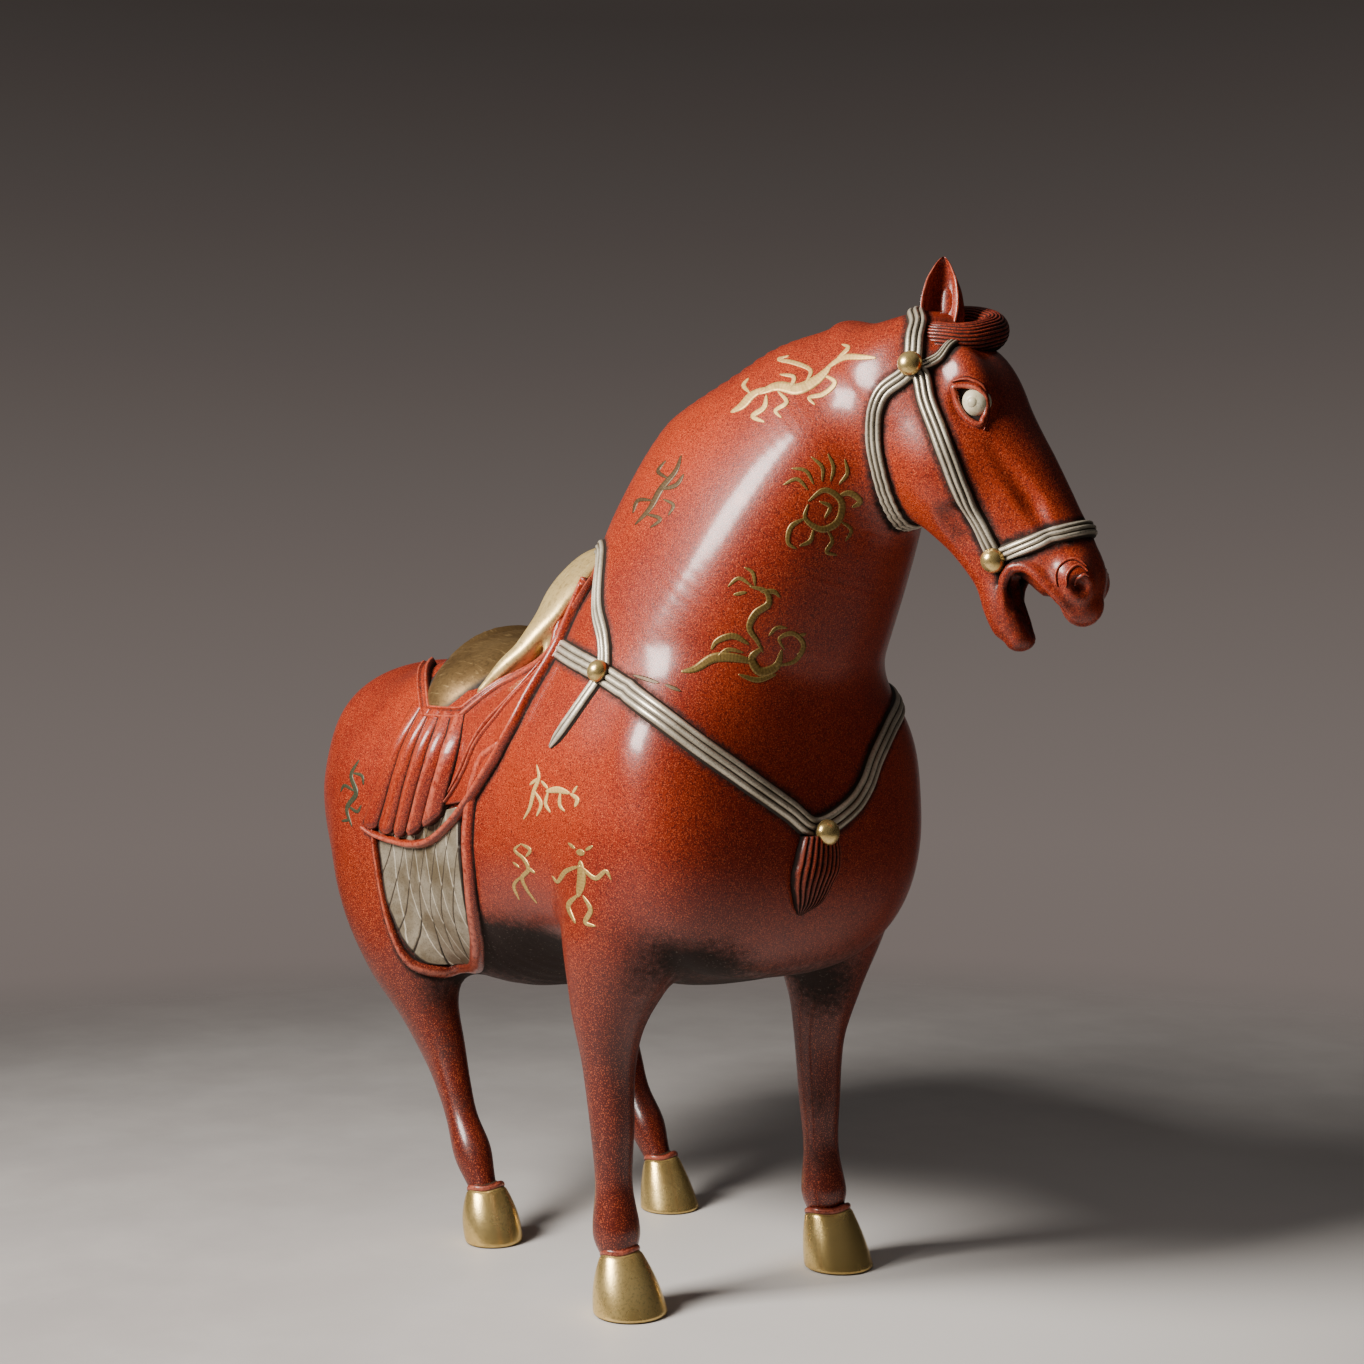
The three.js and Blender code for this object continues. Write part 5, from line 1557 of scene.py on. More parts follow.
@dataclass
class Tack:
    """Bridle, breast strap, collar, their bosses and the tassel."""

    form: HorseForm
    finishes: Finishes
    seams: list
    breast_width: float = 9.4
    strap_width: float = 7.6
    nose_width: float = 6.6
    brow_width: float = 4.6
    boss_radius: float = 4.5
    chest_boss_radius: float = 5.0
    breast_right: tuple = ((-22, -43, 254), (-1.4, -49.3, 253.6), (34, -61.4, 248), (54, -63.3, 242.8),
                           (81, -62.9, 232.4), (98.6, -52.9, 218.7), (106.8, -36.5, 205.6),
                           (110.4, -16.1, 191.9), (110.9, -4.6, 184.8))
    breast_left: tuple = ((110.6, 12.6, 191.5), (109.8, 21.3, 199.5), (108.4, 28.5, 210.3), (103, 40, 222),
                          (92, 54, 231), (54, 63.3, 242.8), (34, 61.4, 248), (-1.4, 49.3, 253.6),
                          (-22, 43, 254))
    collar: tuple = ((4, 0, 284), (12, -18, 288), (20, -32, 290), (25.5, -42, 287), (37.6, -52.7, 267.3),
                     (47.3, -57.5, 256.2), (54, -62, 243))
    loose_end: tuple = ((53, -63, 244), (50.5, -65, 239.8), (43.5, -70.4, 227.6), (38.6, -72.7, 220.7),
                        (33, -74.1, 214.5))
    crown: tuple = ((-30, 0, -16), (-27, -8, -15.5), (-21.3, -14.4, -14.8), (-16.9, -17.1, -17.3),
                    (-11.8, -18.9, -19.7), (-5.5, -18.6, -23.2))
    throat: tuple = ((-5.5, -18.6, -23.2), (-4.6, -20.5, -27.6), (-3.9, -20.7, -35.7), (0.1, -19.7, -41.6),
                     (7.9, -17.6, -47.5), (17.7, -15.1, -51.6), (26.9, -7.5, -56.1), (33, 0, -60))
    cheek: tuple = ((-5.5, -18.6, -23.2), (-2.1, -20.4, -21.4), (7.2, -21.5, -23.6), (19.1, -23, -24.9),
                    (30.3, -22.5, -26.7), (39.7, -18.9, -28.9), (49.9, -14.4, -30.3), (66, -10, -32.6))
    nose: tuple = ((66, -10, -32.6), (66.5, -10.4, -28.3), (68.6, -12.8, -20.5), (70.2, -11.2, -11.7),
                   (71.9, -7.3, -3.9), (72.5, 0, 0.5))
    brow: tuple = ((-5.5, -18.6, -23.2), (-4.5, -19.6, -19), (-4.5, -18.5, -12.6), (-7, -16.5, -8),
                   (-10, -13, -3))
    tassel_line: tuple = ((111, -3.3, 182), (110.8, -4.3, 172), (110, -6.2, 164.7), (108, -7.5, 158),
                          (106.5, -9.8, 153))
    tassel_widths: tuple = ((0, 8.2), (0.15, 10.0), (0.35, 10.8), (0.6, 8.4), (0.82, 5.2), (1, 0.8))
    flutes: int = 9

    def build(self) -> None:
        """Makes every strap, boss and the tassel."""
        wide = Profile.ridged(3, 2.3, 0.85)
        collar = np.array(self.collar, float)
        breast = np.array(self.breast_right + self.breast_left, float)
        self._strap("breast_strap", breast, self.breast_width, wide)
        round_neck = np.vstack([collar[::-1], (collar * [1, -1, 1])[1:]])
        self._strap("collar_strap", round_neck, self.strap_width, wide)
        for name, rows, width in (("crown_strap", self.crown, self.strap_width),
                                  ("nose_strap", self.nose, self.nose_width)):
            right, left = np.array(rows, float), np.array(rows, float) * [1, -1, 1]
            ends = (right[::-1], left[1:]) if rows[0][1] == 0 else (right, left[-2::-1])
            self._strap(name, on_head(np.vstack(ends)), width, wide)
        for side, word in SIDES:
            flip = np.array([1, -side, 1])
            for name, rows, width in (("throat", self.throat, self.strap_width),
                                      ("brow", self.brow, self.brow_width),
                                      ("cheek", self.cheek, self.strap_width)):
                self._strap(f"{name}_strap_{word}", on_head(np.array(rows) * flip), width, wide)
            end = sweep(self.form, np.array(self.loose_end) * flip, self.strap_width,
                        Profile.ridged(2, 2.0, 0.6, 0.2), widths=[1, 1, 1, 1, 1, 0.96, 0.8, 0.3],
                        heights=[1, 1, 1, 1, 1, 1, 0.9, 0.5])
            self.finishes.dress(end, f"loose_strap_{word}", Finish.SILVER_TRIM)
            for name, spot in (("temple", on_head([-6.3, side * 18.9, -23.3])),
                               ("mouth", on_head([66, side * 9.8, -33])),
                               ("breast", np.array([[53.5, side * 63, 243]]))):
                self._boss(f"boss_{name}_{word}", spot, self.boss_radius)
        self._boss("boss_chest", np.array([[111, -1.5, 183]]), self.chest_boss_radius)
        self.finishes.dress(self._tassel(), "tassel", Finish.RED_LACQUER)

    def _strap(self, name: str, guides: Array, width: float, profile: Profile) -> None:
        """One ridged strap."""
        # the strap's line is kept so the skin beside it is darkened with grime and painted shade
        self.seams.append((self.form.settle(even(guides, 2.0))[0], width / 2))
        self.finishes.dress(sweep(self.form, guides, width, profile), name, Finish.SILVER_TRIM)

    def _boss(self, name: str, spot: Array, radius: float) -> None:
        """A gilt stud whose foot is darkened with painted shade.

        Args:
            name: its name.
            spot: a place near the skin.
            radius: radius, mm.
        """
        at, out = self.form.settle(spot)
        shape = ball(at[0] + out[0] * (radius * 0.45 + 1.0), radius, out[0], 0.92, 48, foot=1.0)
        self.finishes.dress(shape, name, Finish.GILT_BRONZE)

    def _tassel(self) -> Shape:
        """The fluted tassel that hangs from the chest boss.

        Returns:
            The mesh.
        """
        t = np.linspace(0, 1, 60)
        v = np.linspace(1, -1, self.flutes * 12 + 1)
        rows = np.array(self.tassel_widths)
        half = np.interp(t, rows[:, 0], rows[:, 1])
        half = np.convolve(np.pad(half, 3, mode="edge"), np.ones(7) / 7, "valid")
        half[-4:] = np.linspace(half[-4], 0.8, 4)
        line = spline(np.array(self.tassel_line, float), t)
        spots = line[:, None] + v[None, :, None] * half[:, None, None] * np.array([0.0, 1.0, 0.0])
        at, out = self.form.settle(spots)
        wave = np.abs(np.sin(np.pi * self.flutes * (v + 1) / 2))[None] ** 0.65
        dome = np.sqrt(np.clip(1 - v * v, 0, 1))[None] * half[:, None]
        lift = 0.6 + 0.42 * dome + 1.1 * wave * np.minimum(half[:, None] / 6, 1)
        # painted shade in the grooves between flutes; darker overall towards the tip
        dark = 0.26 + 0.3 * smoothstep(0.3, 1.0, t)[:, None]
        return plate(at, out, lift, crease=(1 - wave) * 0.95 + dark, worn=0.8 * wave + 0 * lift)


@dataclass
class SaddleCloths:
    """Saddle, its rims, the gathered cloth, the skirt and the scratched blanket on both sides."""

    form: HorseForm
    finishes: Finishes
    seams: list
    lining: tuple = ((-25.0, 0.0, 243.0), (6.5, 37.5, 47.5))
    panel_back: tuple = ((-108.3, 98), (-107.8, 109), (-106.3, 120), (-102.1, 128), (-98, 134.6),
                         (-94.3, 141), (-89, 146.6))
    panel_front: tuple = ((-40, 88), (-41.9, 102.9), (-42.9, 113), (-48.6, 127.1), (-58.6, 138.1),
                          (-76, 147.2))
    border: tuple = ((-10.6, 66.8), (-23.8, 71.4), (-28.4, 78.7), (-32.4, 88.9), (-34.7, 99.8), (-36.5, 111),
                     (-44.2, 126.3), (-54.1, 136.9), (-74.8, 147.9), (-92, 148), (-98.5, 138.5),
                     (-104, 129), (-108, 118), (-110, 106), (-111, 98))
    border_widths: tuple = (0.5, 0.9, 1, 1, 1, 1, 1.05, 1.05, 1.05, 0.8, 0.5, 0.4, 0.35, 0.3)
    skirt_back: tuple = ((-97, 54), (-99.3, 63.7), (-104.6, 74.4), (-111, 85.2), (-116, 96))
    skirt_front: tuple = ((10, 34), (5.4, 45), (-0.2, 60), (-12, 72), (-31.7, 85.5))
    roll: tuple = ((18, 26), (8, 35), (5.4, 41), (3.2, 49.8), (-0.2, 61.2), (-7.3, 67.9), (-19.1, 76.8),
                   (-31.7, 85.5), (-46, 93.6), (-64.4, 100.7), (-81.4, 102.8), (-96.3, 102.3), (-109, 100.5),
                   (-117, 98))
    ridges: tuple = (
        ((27.4, 26.4), (12.9, 29.8), (1.8, 33.6), (0, 42), (-11.3, 49), (-22.5, 59.1), (-30.9, 67.1),
         (-35.5, 74.9), (-43.8, 82.6), (-56, 90)),
        ((-6, 39), (-16.5, 50.8), (-28.3, 60), (-34.6, 68.5), (-39.8, 76.4), (-47, 83.5)))
    band: tuple = ((-126, 32), (-104.5, 44.3), (-91.7, 51.5), (-84, 56.2), (-82.5, 57), (-80, 57), (-68, 57),
                   (-56, 56.8), (-53.5, 56.5), (-51, 55), (-44, 49.5), (-37, 44), (-21, 37.5), (-3, 31.5),
                   (17, 25))
    pleat_back: tuple = ((-96.5, 55.3), (-98.3, 63.7), (-103.6, 74.4), (-110.8, 85.2), (-117.5, 96.5))
    pleat_front: tuple = ((-50, 57.5), (-44.5, 66), (-44, 74), (-48, 83), (-52, 90.5))
    pleats: tuple = (0.0, 0.17, 0.36, 0.55, 0.76, 1.0)
    line_pitch: float = 9.4
    border_width: float = 8.4
    roll_width: float = 5.0
    ridge_width: float = 3.2
    band_width: float = 6.2
    quick_cell: float = 1.6
    quick_share: float = 0.6

    def build(self) -> None:
        """Makes the saddle and both sides' cloths."""
        self._saddle()
        for side, word in SIDES:
            self._blanket(side, word)
            self._skirt(side, word)
            self._gathers(side, word)

    def _saddle(self) -> None:
        """The seat, the pommel and its red lining."""
        middle, halves = self.lining
        lining = Ovoid(np.array(middle), list(halves))
        seat, pommel = self.form.seat, self.form.pommel
        for name, form, finish, cell, low, high in (
                ("saddle_seat", seat, Finish.SADDLE_BRASS, 1.8, (-130, -66, 190), (-30, 66, 266)),
                ("saddle_lining", lining.distance, Finish.RED_LACQUER, 2.0, (-34, -40, 194), (-16, 40, 294)),
                ("saddle_pommel", pommel, Finish.POMMEL_GOLD, 1.3, (-52, -64, 194), (-18, 64, 304))):
            cell = cell * 1.0
            axes = [np.arange(a, b, cell) for a, b in zip(low, high)]
            points, faces, _ = self.form.mesh(form, axes)
            # painted shade where each piece meets the skin, and on the seat next to the pommel
            crease = smoothstep(4.5, 0.5, self.form.skin(points)) * 0.9
            if finish is Finish.SADDLE_BRASS:
                crease += smoothstep(7.0, 1.5, self.form.pommel(points)) * 0.7
            self.finishes.dress(Shape(points, faces, crease), name, finish)

    def _patch(self, front: tuple, back: tuple, rows: int, columns: int, side: int) -> tuple:
        """A grid of skin points between two edges.

        Args:
            front: the front edge as (x, turn) pairs, from the top down.
            back: the back edge.
            rows: points down the cloth.
            columns: points from back to front.
            side: -1 for the right side of the horse, 1 for the left.

        Returns:
            Points and outward directions, both rows by columns by 3.
        """
        v = np.linspace(0, 1, 18)
        a = spline(np.column_stack([np.array(back, float), np.zeros(len(back))]), v)
        b = spline(np.column_stack([np.array(front, float), np.zeros(len(front))]), v)
        u = np.linspace(0, 1, 15)[None, :, None]
        spots = a[:, None] * (1 - u) + b[:, None] * u
        coarse = self.form.on_skin(spots[..., 0], spots[..., 1]).reshape(18, 15, 3)
        i, j = np.linspace(0, 17, rows), np.linspace(0, 14, columns)
        i0, j0 = np.minimum(i.astype(int), 16), np.minimum(j.astype(int), 13)
        fi, fj = (i - i0)[:, None, None], (j - j0)[None, :, None]
        fine = ((coarse[i0][:, j0] * (1 - fj) + coarse[i0][:, j0 + 1] * fj) * (1 - fi)
                + (coarse[i0 + 1][:, j0] * (1 - fj) + coarse[i0 + 1][:, j0 + 1] * fj) * fi)
        return self.form.settle(fine * [1, -side, 1], steps=2)

    def _edge(self, rows: tuple, side: int) -> Array:
        """Guide points of a raised edge; the line is kept so that the skin beside it is darkened with grime
        and painted shade.

        Args:
            rows: (x, turn) pairs.
            side: -1 for the right side, 1 for the left.

        Returns:
            Skin points, one a row.
        """
        r = np.array(rows, float)
        line = self.form.on_skin(r[:, 0], r[:, 1]) * [1, -side, 1]
        self.seams.append((self.form.settle(even(line, 2.0))[0], 2.4))
        return line

    @staticmethod
    def _shares(at: Array) -> tuple[Array, Array]:
        """The places across and down a grid, from 0 to 1."""
        return np.linspace(0, 1, at.shape[1])[None], np.linspace(0, 1, at.shape[0])[:, None]

    @staticmethod
    def _turned(shape: Shape, side: int) -> Shape:
        """A plate made for the left side, with its faces turned over for the right."""
        return shape.flipped() if side < 0 else shape

    def _blanket(self, side: int, word: str) -> None:
        """The silvered panel with its crossing scratched lines, and its red border.

        Args:
            side: -1 for the right side, 1 for the left.
            word: the side in words.
        """
        fine = 1.0
        at, out = self._patch(self.panel_front, self.panel_back, int(170 * fine), int(230 * fine), side)
        x, z = at[..., 0], at[..., 2]
        drop = 170.0 - z
        wobble = 0.35 * np.sin(z * 0.21 + x * 0.05)
        dark = np.abs((x + 0.52 * drop + wobble) / self.line_pitch % 1 - 0.5) * self.line_pitch
        light = np.abs((x - 0.02 * drop + wobble) / self.line_pitch % 1 - 0.5) * self.line_pitch
        groove = smoothstep(0.75, 0.15, dark)
        scratch = smoothstep(0.42, 0.12, light)
        lift = 1.2 - 0.4 * groove - 0.12 * scratch
        u, v = self._shares(at)
        rim = np.maximum(smoothstep(0.03, 0.0, np.minimum(u, 1 - u)), smoothstep(0.97, 1.0, v))
        shape = plate(at, out, lift, crease=np.maximum(groove * 0.75, rim), worn=scratch * 1.0)
        self.finishes.dress(self._turned(shape, side), f"blanket_{word}", Finish.SILVER_TRIM)
        border = sweep(self.form, self._edge(self.border, side), self.border_width,
                       Profile.roll(2.9, 0.16, 1.0), pitch=1.5, widths=list(self.border_widths))
        self.finishes.dress(border, f"blanket_border_{word}", Finish.RED_LACQUER)

    def _skirt(self, side: int, word: str) -> None:
        """The red flap between saddle and neck, with its rolled edges and the band round the seat.

        Args:
            side: -1 for the right side, 1 for the left.
            word: the side in words.
        """
        at, out = self._patch(self.skirt_front, self.skirt_back, 60, 90, side)
        flap = self._turned(plate(at, out, np.full(at.shape[:2], 2.0)), side)
        self.finishes.dress(flap, f"skirt_{word}", Finish.RED_LACQUER)
        whole = sweep(self.form, self._edge(self.roll, side), self.roll_width,
                      Profile.roll(4.2, 0.2, 1.0), widths=[0.4, 0.9, 1, 1, 1, 1, 1, 1, 0.9, 0.7])
        for rows in self.ridges:
            whole = whole.plus(sweep(self.form, self._edge(rows, side), self.ridge_width,
                                     Profile.roll(3.3, 0.34, 1.0), widths=[0.3, 0.8, 1, 1, 1, 1, 0.9, 0.4]))
        self.finishes.dress(whole, f"skirt_edges_{word}", Finish.RED_LACQUER)
        # the third row darkens the edges and the middle groove with painted shade
        lips = Profile((-1.0, -0.86, -0.66, -0.5, -0.36, 0.0, 0.36, 0.5, 0.66, 0.86, 1.0),
                       (0.0, 3.2, 4.0, 3.4, 2.7, 2.6, 2.7, 3.4, 4.0, 3.2, 0.0),
                       (1.0, 0.3, 0.0, 0.2, 0.6, 0.1, 0.6, 0.2, 0.0, 0.3, 1.0),
                       (0.0, 0.8, 1.0, 0.5, 0.0, 0.2, 0.0, 0.5, 1.0, 0.8, 0.0))
        band = sweep(self.form, self._edge(self.band, side), self.band_width, lips, pitch=1.0)
        self.finishes.dress(band, f"seat_band_{word}", Finish.RED_LACQUER)

    def _gathers(self, side: int, word: str) -> None:
        """The gathered cloth that hangs from the saddle's band in overlapping pleats.

        Args:
            side: -1 for the right side, 1 for the left.
            word: the side in words.
        """
        fine = 1.0
        at, out = self._patch(self.pleat_front, self.pleat_back, int(110 * fine), int(220 * fine), side)
        u, v = self._shares(at)
        bend = np.clip(u + 0.018 * np.sin(5 * v + 2 * u) * np.sin(np.pi * u), 0, 1)
        bounds = np.array(self.pleats)
        k = np.clip(np.searchsorted(bounds, bend, side="right") - 1, 0, len(bounds) - 2)
        share = (bend - bounds[k]) / (bounds[k + 1] - bounds[k])
        hump = np.sin(np.pi * np.clip(share, 0, 1) ** 1.35) ** 0.62
        small = np.sin(2 * np.pi * share + 1.2 * k) * np.sin(np.pi * share)
        deep = 0.3 + 0.7 * smoothstep(0.0, 0.45, v)
        lift = 2.2 + deep * (3.4 * hump + 0.35 * small) * (0.8 + 0.12 * k)
        lift = lift - 1.6 * smoothstep(0.95, 1.0, v) * hump
        down = unit(np.gradient(at, axis=0))
        lobes = (hump * 3.0 - 0.5) * smoothstep(0.7, 1.0, v)
        lobes = lobes + 7.5 * np.sin(np.pi * u ** 1.2) * smoothstep(0.3, 1.0, v)
        at, out = self.form.settle(at + down * lobes[..., None], steps=2)
        # painted shade in the valleys between pleats and along the hem
        crease = np.clip(1.1 - 2.4 * hump, 0, 1) + smoothstep(0.975, 1.0, v) * 0.6
        shape = plate(at, out, lift, crease=crease, worn=hump ** 4 * (0.5 + 0.12 * k))
        self.finishes.dress(self._turned(shape, side), f"gathered_cloth_{word}", Finish.RED_LACQUER)


@dataclass(frozen=True)
class Figure:
    """A small painted figure of tapered strokes, in millimetres, x to the viewer's right, y up.

    Each stroke is its greatest half width and then the places along it. The film is the paint's
    thickness, sunk how far its underside lies in the skin, and bold widens every stroke.
    """

    name: str
    spot: tuple
    strokes: tuple
    tone: Tone = Tone.GOLD
    both_sides: bool = False
    film: float = 0.14
    sunk: float = 0.4
    bold: float = 0.86
    stand_off: float = 40.0
    casts: int = 12

    def build(self, form: HorseForm, finishes: Finishes, side: int = -1) -> None:
        """Lays the strokes on the skin.

        Args:
            form: the horse.
            finishes: the made materials.
            side: -1 for the right side, 1 for the left, mirrored.
        """
        strokes = [self._outline(width * self.bold, np.array(places, float))
                   for width, *places in self.strokes]
        spots = np.concatenate([outline.reshape(-1, 3) for outline in strokes]) - SIGHT * self.stand_off
        for _ in range(self.casts):
            spots = spots + SIGHT * (0.9 * form.skin(spots))[:, None]
        at, out = form.settle(spots * [1, -side, 1], steps=3)
        whole = None
        first = 0
        for outline in strokes:
            rows = slice(first, first + outline.shape[0] * 4)
            first = rows.stop
            skin, away = at[rows].reshape(-1, 4, 3), out[rows].reshape(-1, 4, 3)
            top = skin + away * self.film
            low = skin[:, [3, 0]] - away[:, [3, 0]] * self.sunk
            rub = 0.6 + 0.4 * np.sin(4 * np.arange(len(skin)))[:, None]
            one = tube(np.concatenate([top, low], 1), worn=rub)
            one = one.flipped() if side > 0 else one
            whole = one if whole is None else whole.plus(one)
        word = "right" if side < 0 else "left"
        place(whole, f"painted_{self.name}_{word}", finishes.tones[self.tone], Finish.EMBLEM_GOLD.slot)

    def _outline(self, width: float, places: Array) -> Array:
        """One tapered stroke in the plane of the picture.

        Args:
            width: its greatest half width, mm.
            places: the places along it.

        Returns:
            Steps by four points across by 3.
        """
        line = even(np.column_stack([places, 0 * places[:, 0]]), 0.45)
        way = tangents(line)
        beside = np.stack([-way[:, 1], way[:, 0]], 1)
        half = width * (0.12 + 0.88 * np.sin(np.pi * np.linspace(0, 1, len(line))) ** 0.6)
        shifts = np.array([1.0, 0.45, -0.45, -1.0])
        flat = line[:, None, :2] + beside[:, None] * (half[:, None] * shifts)[..., None]
        return np.array(self.spot) + flat[..., :1] * ACROSS + flat[..., 1:] * np.array([0.0, 0.0, 1.0])


FIGURES = (
    Figure("leaping_beast", (113.2, -13.6, 348.6), (
        (2.6, (-15, -2), (-8, 0), (-1, -2), (6, 1), (11, 6)),
        (1.9, (-12, 0), (-17, -2), (-21, -6), (-25, -8)), (0.9, (-18, -1), (-20, 3), (-18, 6)),
        (1.2, (-12, -3), (-13, -8), (-17, -11), (-13, -14)),
        (1.0, (-8, -2), (-5, -7), (-9, -10), (-7, -13)), (1.4, (9, 5), (15, 8), (21, 7), (26, 6)),
        (1.1, (2, 0), (4, 5), (-1, 9), (-7, 12), (-3, 13)),
        (1.1, (8, 3), (12, -1), (8, -5), (3, -6), (5, -9)), (0.9, (13, 8), (17, 12), (15, 14)),
        (0.9, (-4, -2), (-2, 3), (-7, 5))), Tone.BRIGHT),
    Figure("plumed_bird", (127.1, -14.7, 302.3), (
        (1.5, (-5, 2), (1, 6), (7, 2), (6, -5), (0, -8), (-6, -4), (-5, 1)),
        (0.9, (-1, 2), (3, 0), (1, -4)), (0.8, (-5, 6), (-9, 10), (-14, 8)),
        (0.8, (-3, 8), (-6, 13), (-11, 14)), (0.8, (0, 9), (0, 14), (-4, 18)),
        (0.8, (3, 9), (4, 14), (2, 19)), (0.8, (6, 8), (9, 12), (8, 17)),
        (1.3, (6, 4), (10, 5), (14, 2), (11, 0)), (1.1, (-6, -4), (-11, -7), (-12, -13), (-9, -15)),
        (0.9, (-3, -8), (-4, -12), (-8, -14)), (0.9, (2, -8), (4, -12), (2, -16), (6, -17)),
        (0.8, (7, -5), (11, -8), (9, -12))), Tone.OLIVE),
    Figure("long_necked_bird", (104.7, -33.0, 259.8), (
        (1.5, (2, 14), (8, 12), (9, 8), (4, 4), (2, -1), (5, -6), (7, -10)),
        (1.1, (6, 12), (11, 12), (13, 10)), (0.8, (3, 14), (-2, 17), (-6, 14)),
        (0.8, (4, 14), (3, 19), (0, 21)), (0.8, (1, 12), (-4, 11)),
        (2.0, (7, -8), (3, -12), (6, -17), (12, -15), (14, -9)),
        (1.4, (2, -7), (-4, -4), (-10, -6), (-12, -9)),
        (2.1, (5, -14), (-3, -12), (-11, -12), (-18, -16), (-23, -17)),
        (0.9, (0, -10), (-6, -9), (-10, -12)),
        (1.1, (12, -15), (19, -13), (22, -7), (18, -3), (13, -5), (15, -9)), (0.7, (20, -4), (23, -3)),
        (1.2, (-2, -18), (5, -20), (12, -18)), (0.8, (9, -4), (12, -1), (16, -1))), Tone.OLIVE),
    Figure("hunter", (55.8, -37.3, 312.8), (
        (1.5, (-9, -13), (-3, -7), (1, 0), (7, 7), (9, 13)), (1.1, (1, 0), (7, 1), (10, 5)),
        (1.0, (-2, -4), (-8, -3), (-10, -8)), (0.9, (-5, -9), (1, -12), (-3, -15)),
        (0.9, (4, 4), (0, 8), (3, 12)), (0.8, (2, -4), (6, -7), (4, -11))), Tone.DIM),
    Figure("stick_and_calf", (38.7, -75.5, 196.0), (
        (0.9, (-6, 11), (-5, 6), (-7, 1), (-9, -6), (-12, -11)), (0.7, (-5, 6), (-9, 3)),
        (0.8, (-7, 1), (-4, -4), (-6, -9)), (1.5, (-2, 1), (3, 2), (8, 1)),
        (1.0, (8, 1), (11, -1), (10, -4)), (0.8, (-1, 1), (-2, -4), (0, -7)),
        (0.8, (4, 1), (4, -4), (6, -6)), (0.7, (-1, 2), (-4, 5)),
        (0.6, (9, 1), (11, 4))), Tone.BRIGHT, True),
    Figure("kneeling_man", (6.0, -68.3, 163.3), (
        (1.0, (0, 12), (-3, 9), (1, 6), (3, 2), (0, -2), (2, -7), (6, -12)),
        (0.8, (0, 12), (4, 10), (2, 7)), (0.8, (0, -1), (-4, -6), (-2, -12)), (0.8, (2, 3), (6, 1)),
        (0.6, (-4, 4), (-1, 2))), Tone.GOLD, True),
    Figure("dancer", (58.6, -74.6, 163.4), (
        (2.0, (0, 9), (0.5, 2), (-1, -5)), (1.5, (-1.6, 12), (1.8, 12)),
        (1.0, (0, 7), (-6, 4), (-10, -1), (-12, 1)), (1.0, (0, 7), (6, 3), (10, 6), (12, 3)),
        (1.1, (-1, -4), (-5, -9), (-2, -15)), (1.1, (1, -4), (4, -9), (2, -14), (6, -15)),
        (0.7, (-2, 13), (-5, 15)), (0.7, (2, 13), (5, 15))), Tone.GOLD, True),
    Figure("vine", (-132.2, -75.5, 188.9), (
        (1.4, (4, 15), (0, 8), (3, 0), (-2, -7), (1, -15)), (0.9, (1, 9), (6, 8), (7, 4)),
        (0.9, (2, 1), (-4, 3), (-6, 0)), (0.9, (-1, -6), (4, -8), (6, -5)),
        (0.8, (0, -12), (-5, -13))), Tone.GREEN, True),
    Figure("brush_marks", (84.0, -57.5, 238.6), (
        (1.0, (-9, 3), (-4, 1.5), (1, 0)), (0.9, (3, -0.5), (9, -3))), Tone.DIM))


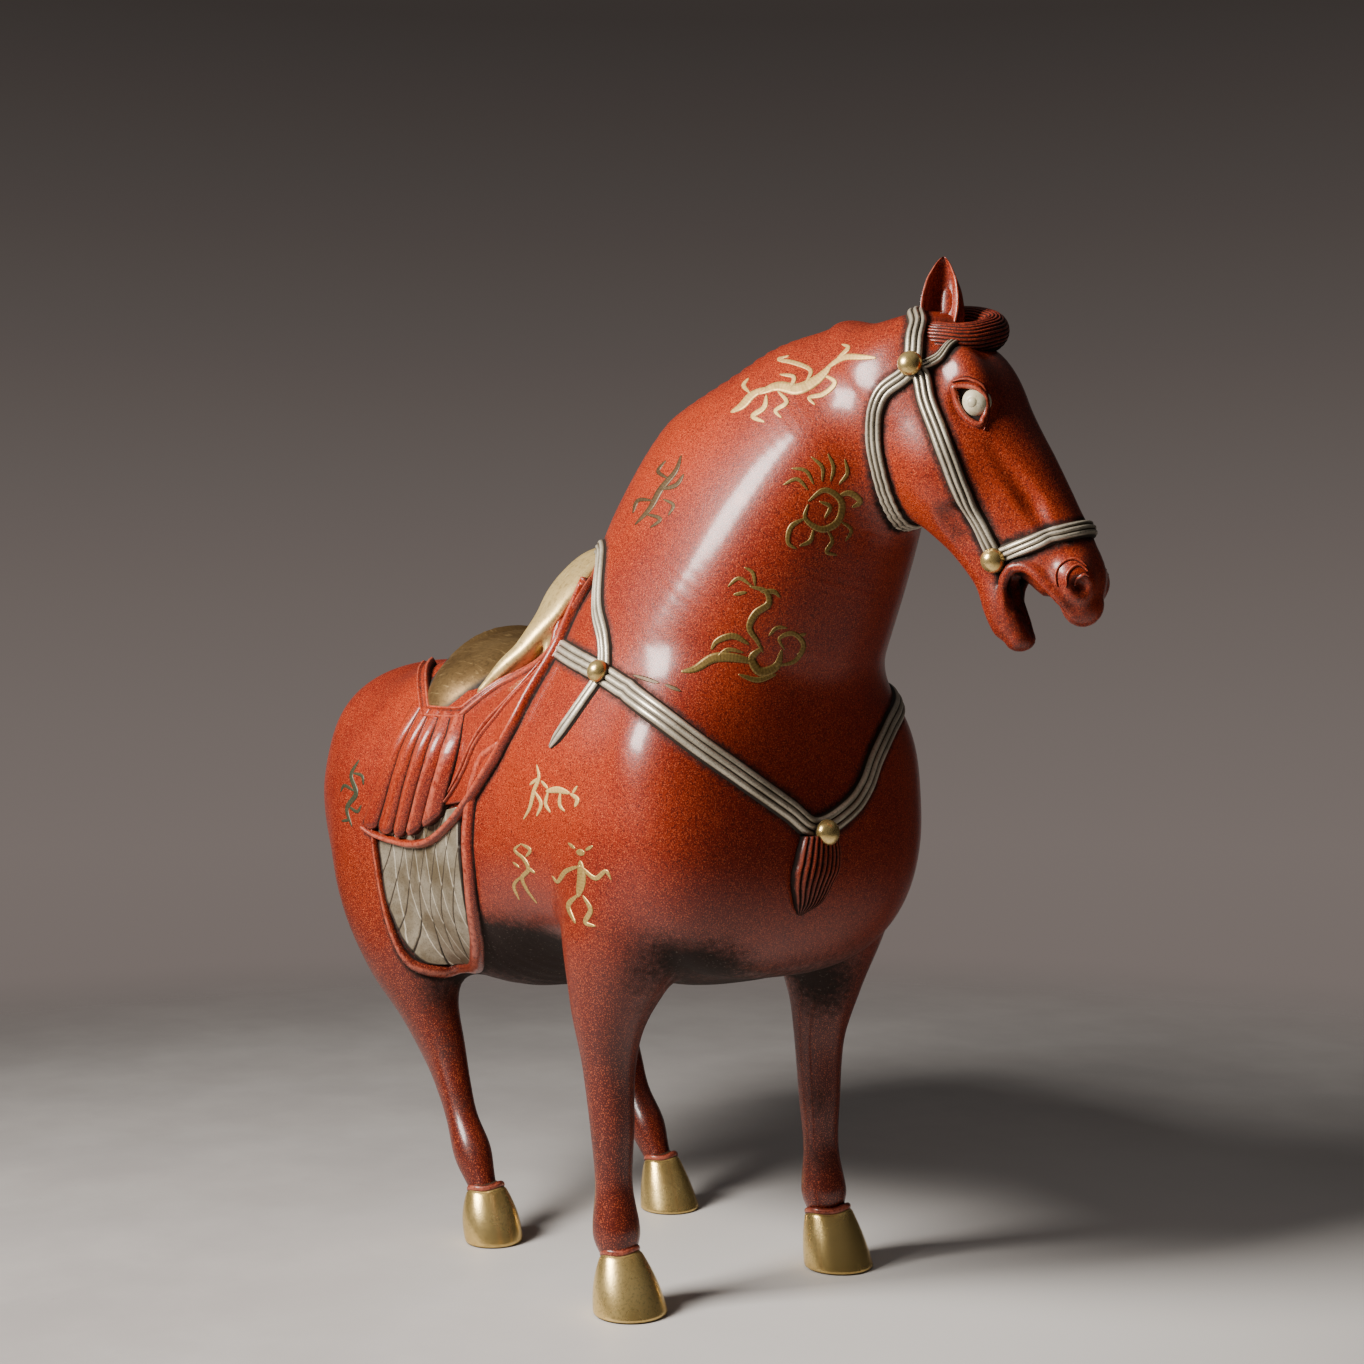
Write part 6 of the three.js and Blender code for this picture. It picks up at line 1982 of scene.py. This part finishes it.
@dataclass
class Studio:
    """Floor, background, lamp and camera, in metres and degrees."""

    camera_at: tuple = (0.674642, -0.4653, 0.239)
    camera_turn: float = 54.5
    lens: float = 51.466
    sensor: float = 36.0
    floor_radius: float = 1.6
    sky: tuple = ((-0.204, 0.165), (-0.081, 0.170), (-0.0195, 0.155), (0.042, 0.135), (0.104, 0.112),
                  (0.165, 0.088), (0.227, 0.068), (0.288, 0.052), (0.339, 0.040))
    tint: tuple = (1.13, 0.94, 0.86)
    fill_low: tuple = (0.026, 0.024, 0.023)
    fill_high: tuple = (0.16, 0.15, 0.145)
    lamp_at: tuple = (-0.08, -0.66, 0.62)
    lamp_aim: tuple = (0.06, -0.02, 0.235)
    lamp_size: float = 0.30
    lamp_power: float = 8.8
    lamp_tint: tuple = (1.0, 0.95, 0.89)
    lamp_spread: float = 128.0

    def build(self) -> None:
        """Sets the studio up."""
        self._floor()
        self._world()
        self._lamp()
        camera = bpy.data.objects.new("camera", bpy.data.cameras.new("camera"))
        camera.location = self.camera_at
        camera.rotation_euler = (math.pi / 2, 0, math.radians(self.camera_turn))
        camera.data.lens = self.lens
        camera.data.sensor_width = self.sensor
        camera.data.sensor_fit = "HORIZONTAL"
        camera.data.clip_start = 0.01
        bpy.context.scene.collection.objects.link(camera)
        bpy.context.scene.camera = camera

    def _floor(self) -> None:
        """A round pale floor, faintly uneven."""
        rows, columns = 30, 96
        turn = np.linspace(0, 2 * np.pi, columns, endpoint=False)
        radii = np.linspace(0.02, self.floor_radius, rows)
        rings = np.stack([np.outer(radii, np.cos(turn)), np.outer(radii, np.sin(turn))], -1)
        z = -0.0002 - 0.00015 * (1 + np.sin(9 * rings[..., 0]) * np.cos(7 * rings[..., 1]))
        points = np.concatenate([rings, z[..., None]], -1).reshape(-1, 3)
        mesh = bpy.data.meshes.new("floor")
        faces = [tuple(reversed(f)) for f in grid_faces(rows, columns, False, True)] + [tuple(range(columns))]
        mesh.from_pydata(points.tolist(), [], faces)
        mesh.polygons.foreach_set("use_smooth", [True] * len(mesh.polygons))
        mesh.materials.append(Ground().build())
        floor = bpy.data.objects.new("floor", mesh)
        bpy.context.scene.collection.objects.link(floor)

    def _world(self) -> None:
        """A plain background, lighter low down, that lights the horse only from behind."""
        world = bpy.data.worlds.new("studio")
        bpy.context.scene.world = world
        g = Graph(world, "Generated")
        x, y, z = g.axis("X"), g.axis("Y"), g.axis("Z")
        slope = z / (x * x + y * y) ** 0.5
        low, high = self.sky[0][0], self.sky[-1][0]
        shade = (slope - low) / (high - low)
        stops = [((t - low) / (high - low), (*(v * c for c in self.tint), 1.0)) for t, v in self.sky]
        sky = g.node("ShaderNodeValToRGB", {"stops": stops}, {"Fac": shade}, "Color")
        behind = (x * float(SIGHT[0]) + y * float(SIGHT[1])).ramp(0.75, 0.89)
        seen = g.node("ShaderNodeLightPath", {}, {}, "Is Camera Ray")
        fill = g.mix(z.ramp(0.45, 0.95), self.fill_low, self.fill_high)
        color = g.mix(seen + (1 - seen) * behind, fill, sky)
        back = g.node("ShaderNodeBackground", {}, {"Color": color})
        g.node("ShaderNodeOutputWorld", {}, {"Surface": back})

    def _lamp(self) -> None:
        """One large soft lamp from the front left above."""
        lamp = bpy.data.lights.new("key", "AREA")
        lamp.shape = "SQUARE"
        lamp.size = self.lamp_size
        lamp.energy = self.lamp_power
        lamp.color = self.lamp_tint
        lamp.spread = math.radians(self.lamp_spread)
        stand = bpy.data.objects.new("key", lamp)
        stand.location = self.lamp_at
        way = Vector(self.lamp_aim) - Vector(self.lamp_at)
        stand.rotation_euler = way.to_track_quat("-Z", "Y").to_euler()
        bpy.context.scene.collection.objects.link(stand)


def main() -> None:
    """Builds the horse and its studio."""
    logging.basicConfig(level=logging.INFO, format="%(message)s")
    form = HorseForm()
    finishes = Finishes()
    Studio().build()
    seams: list = []
    Tack(form, finishes, seams).build()
    SaddleCloths(form, finishes, seams).build()
    Body(form, finishes, seams).build()
    Hooves(finishes).build()
    HeadPieces(form, finishes).build()
    for figure in FIGURES:
        figure.build(form, finishes)
    for figure in FIGURES:
        if figure.both_sides:
            figure.build(form, finishes, 1)


if __name__ == "__main__":
    main()
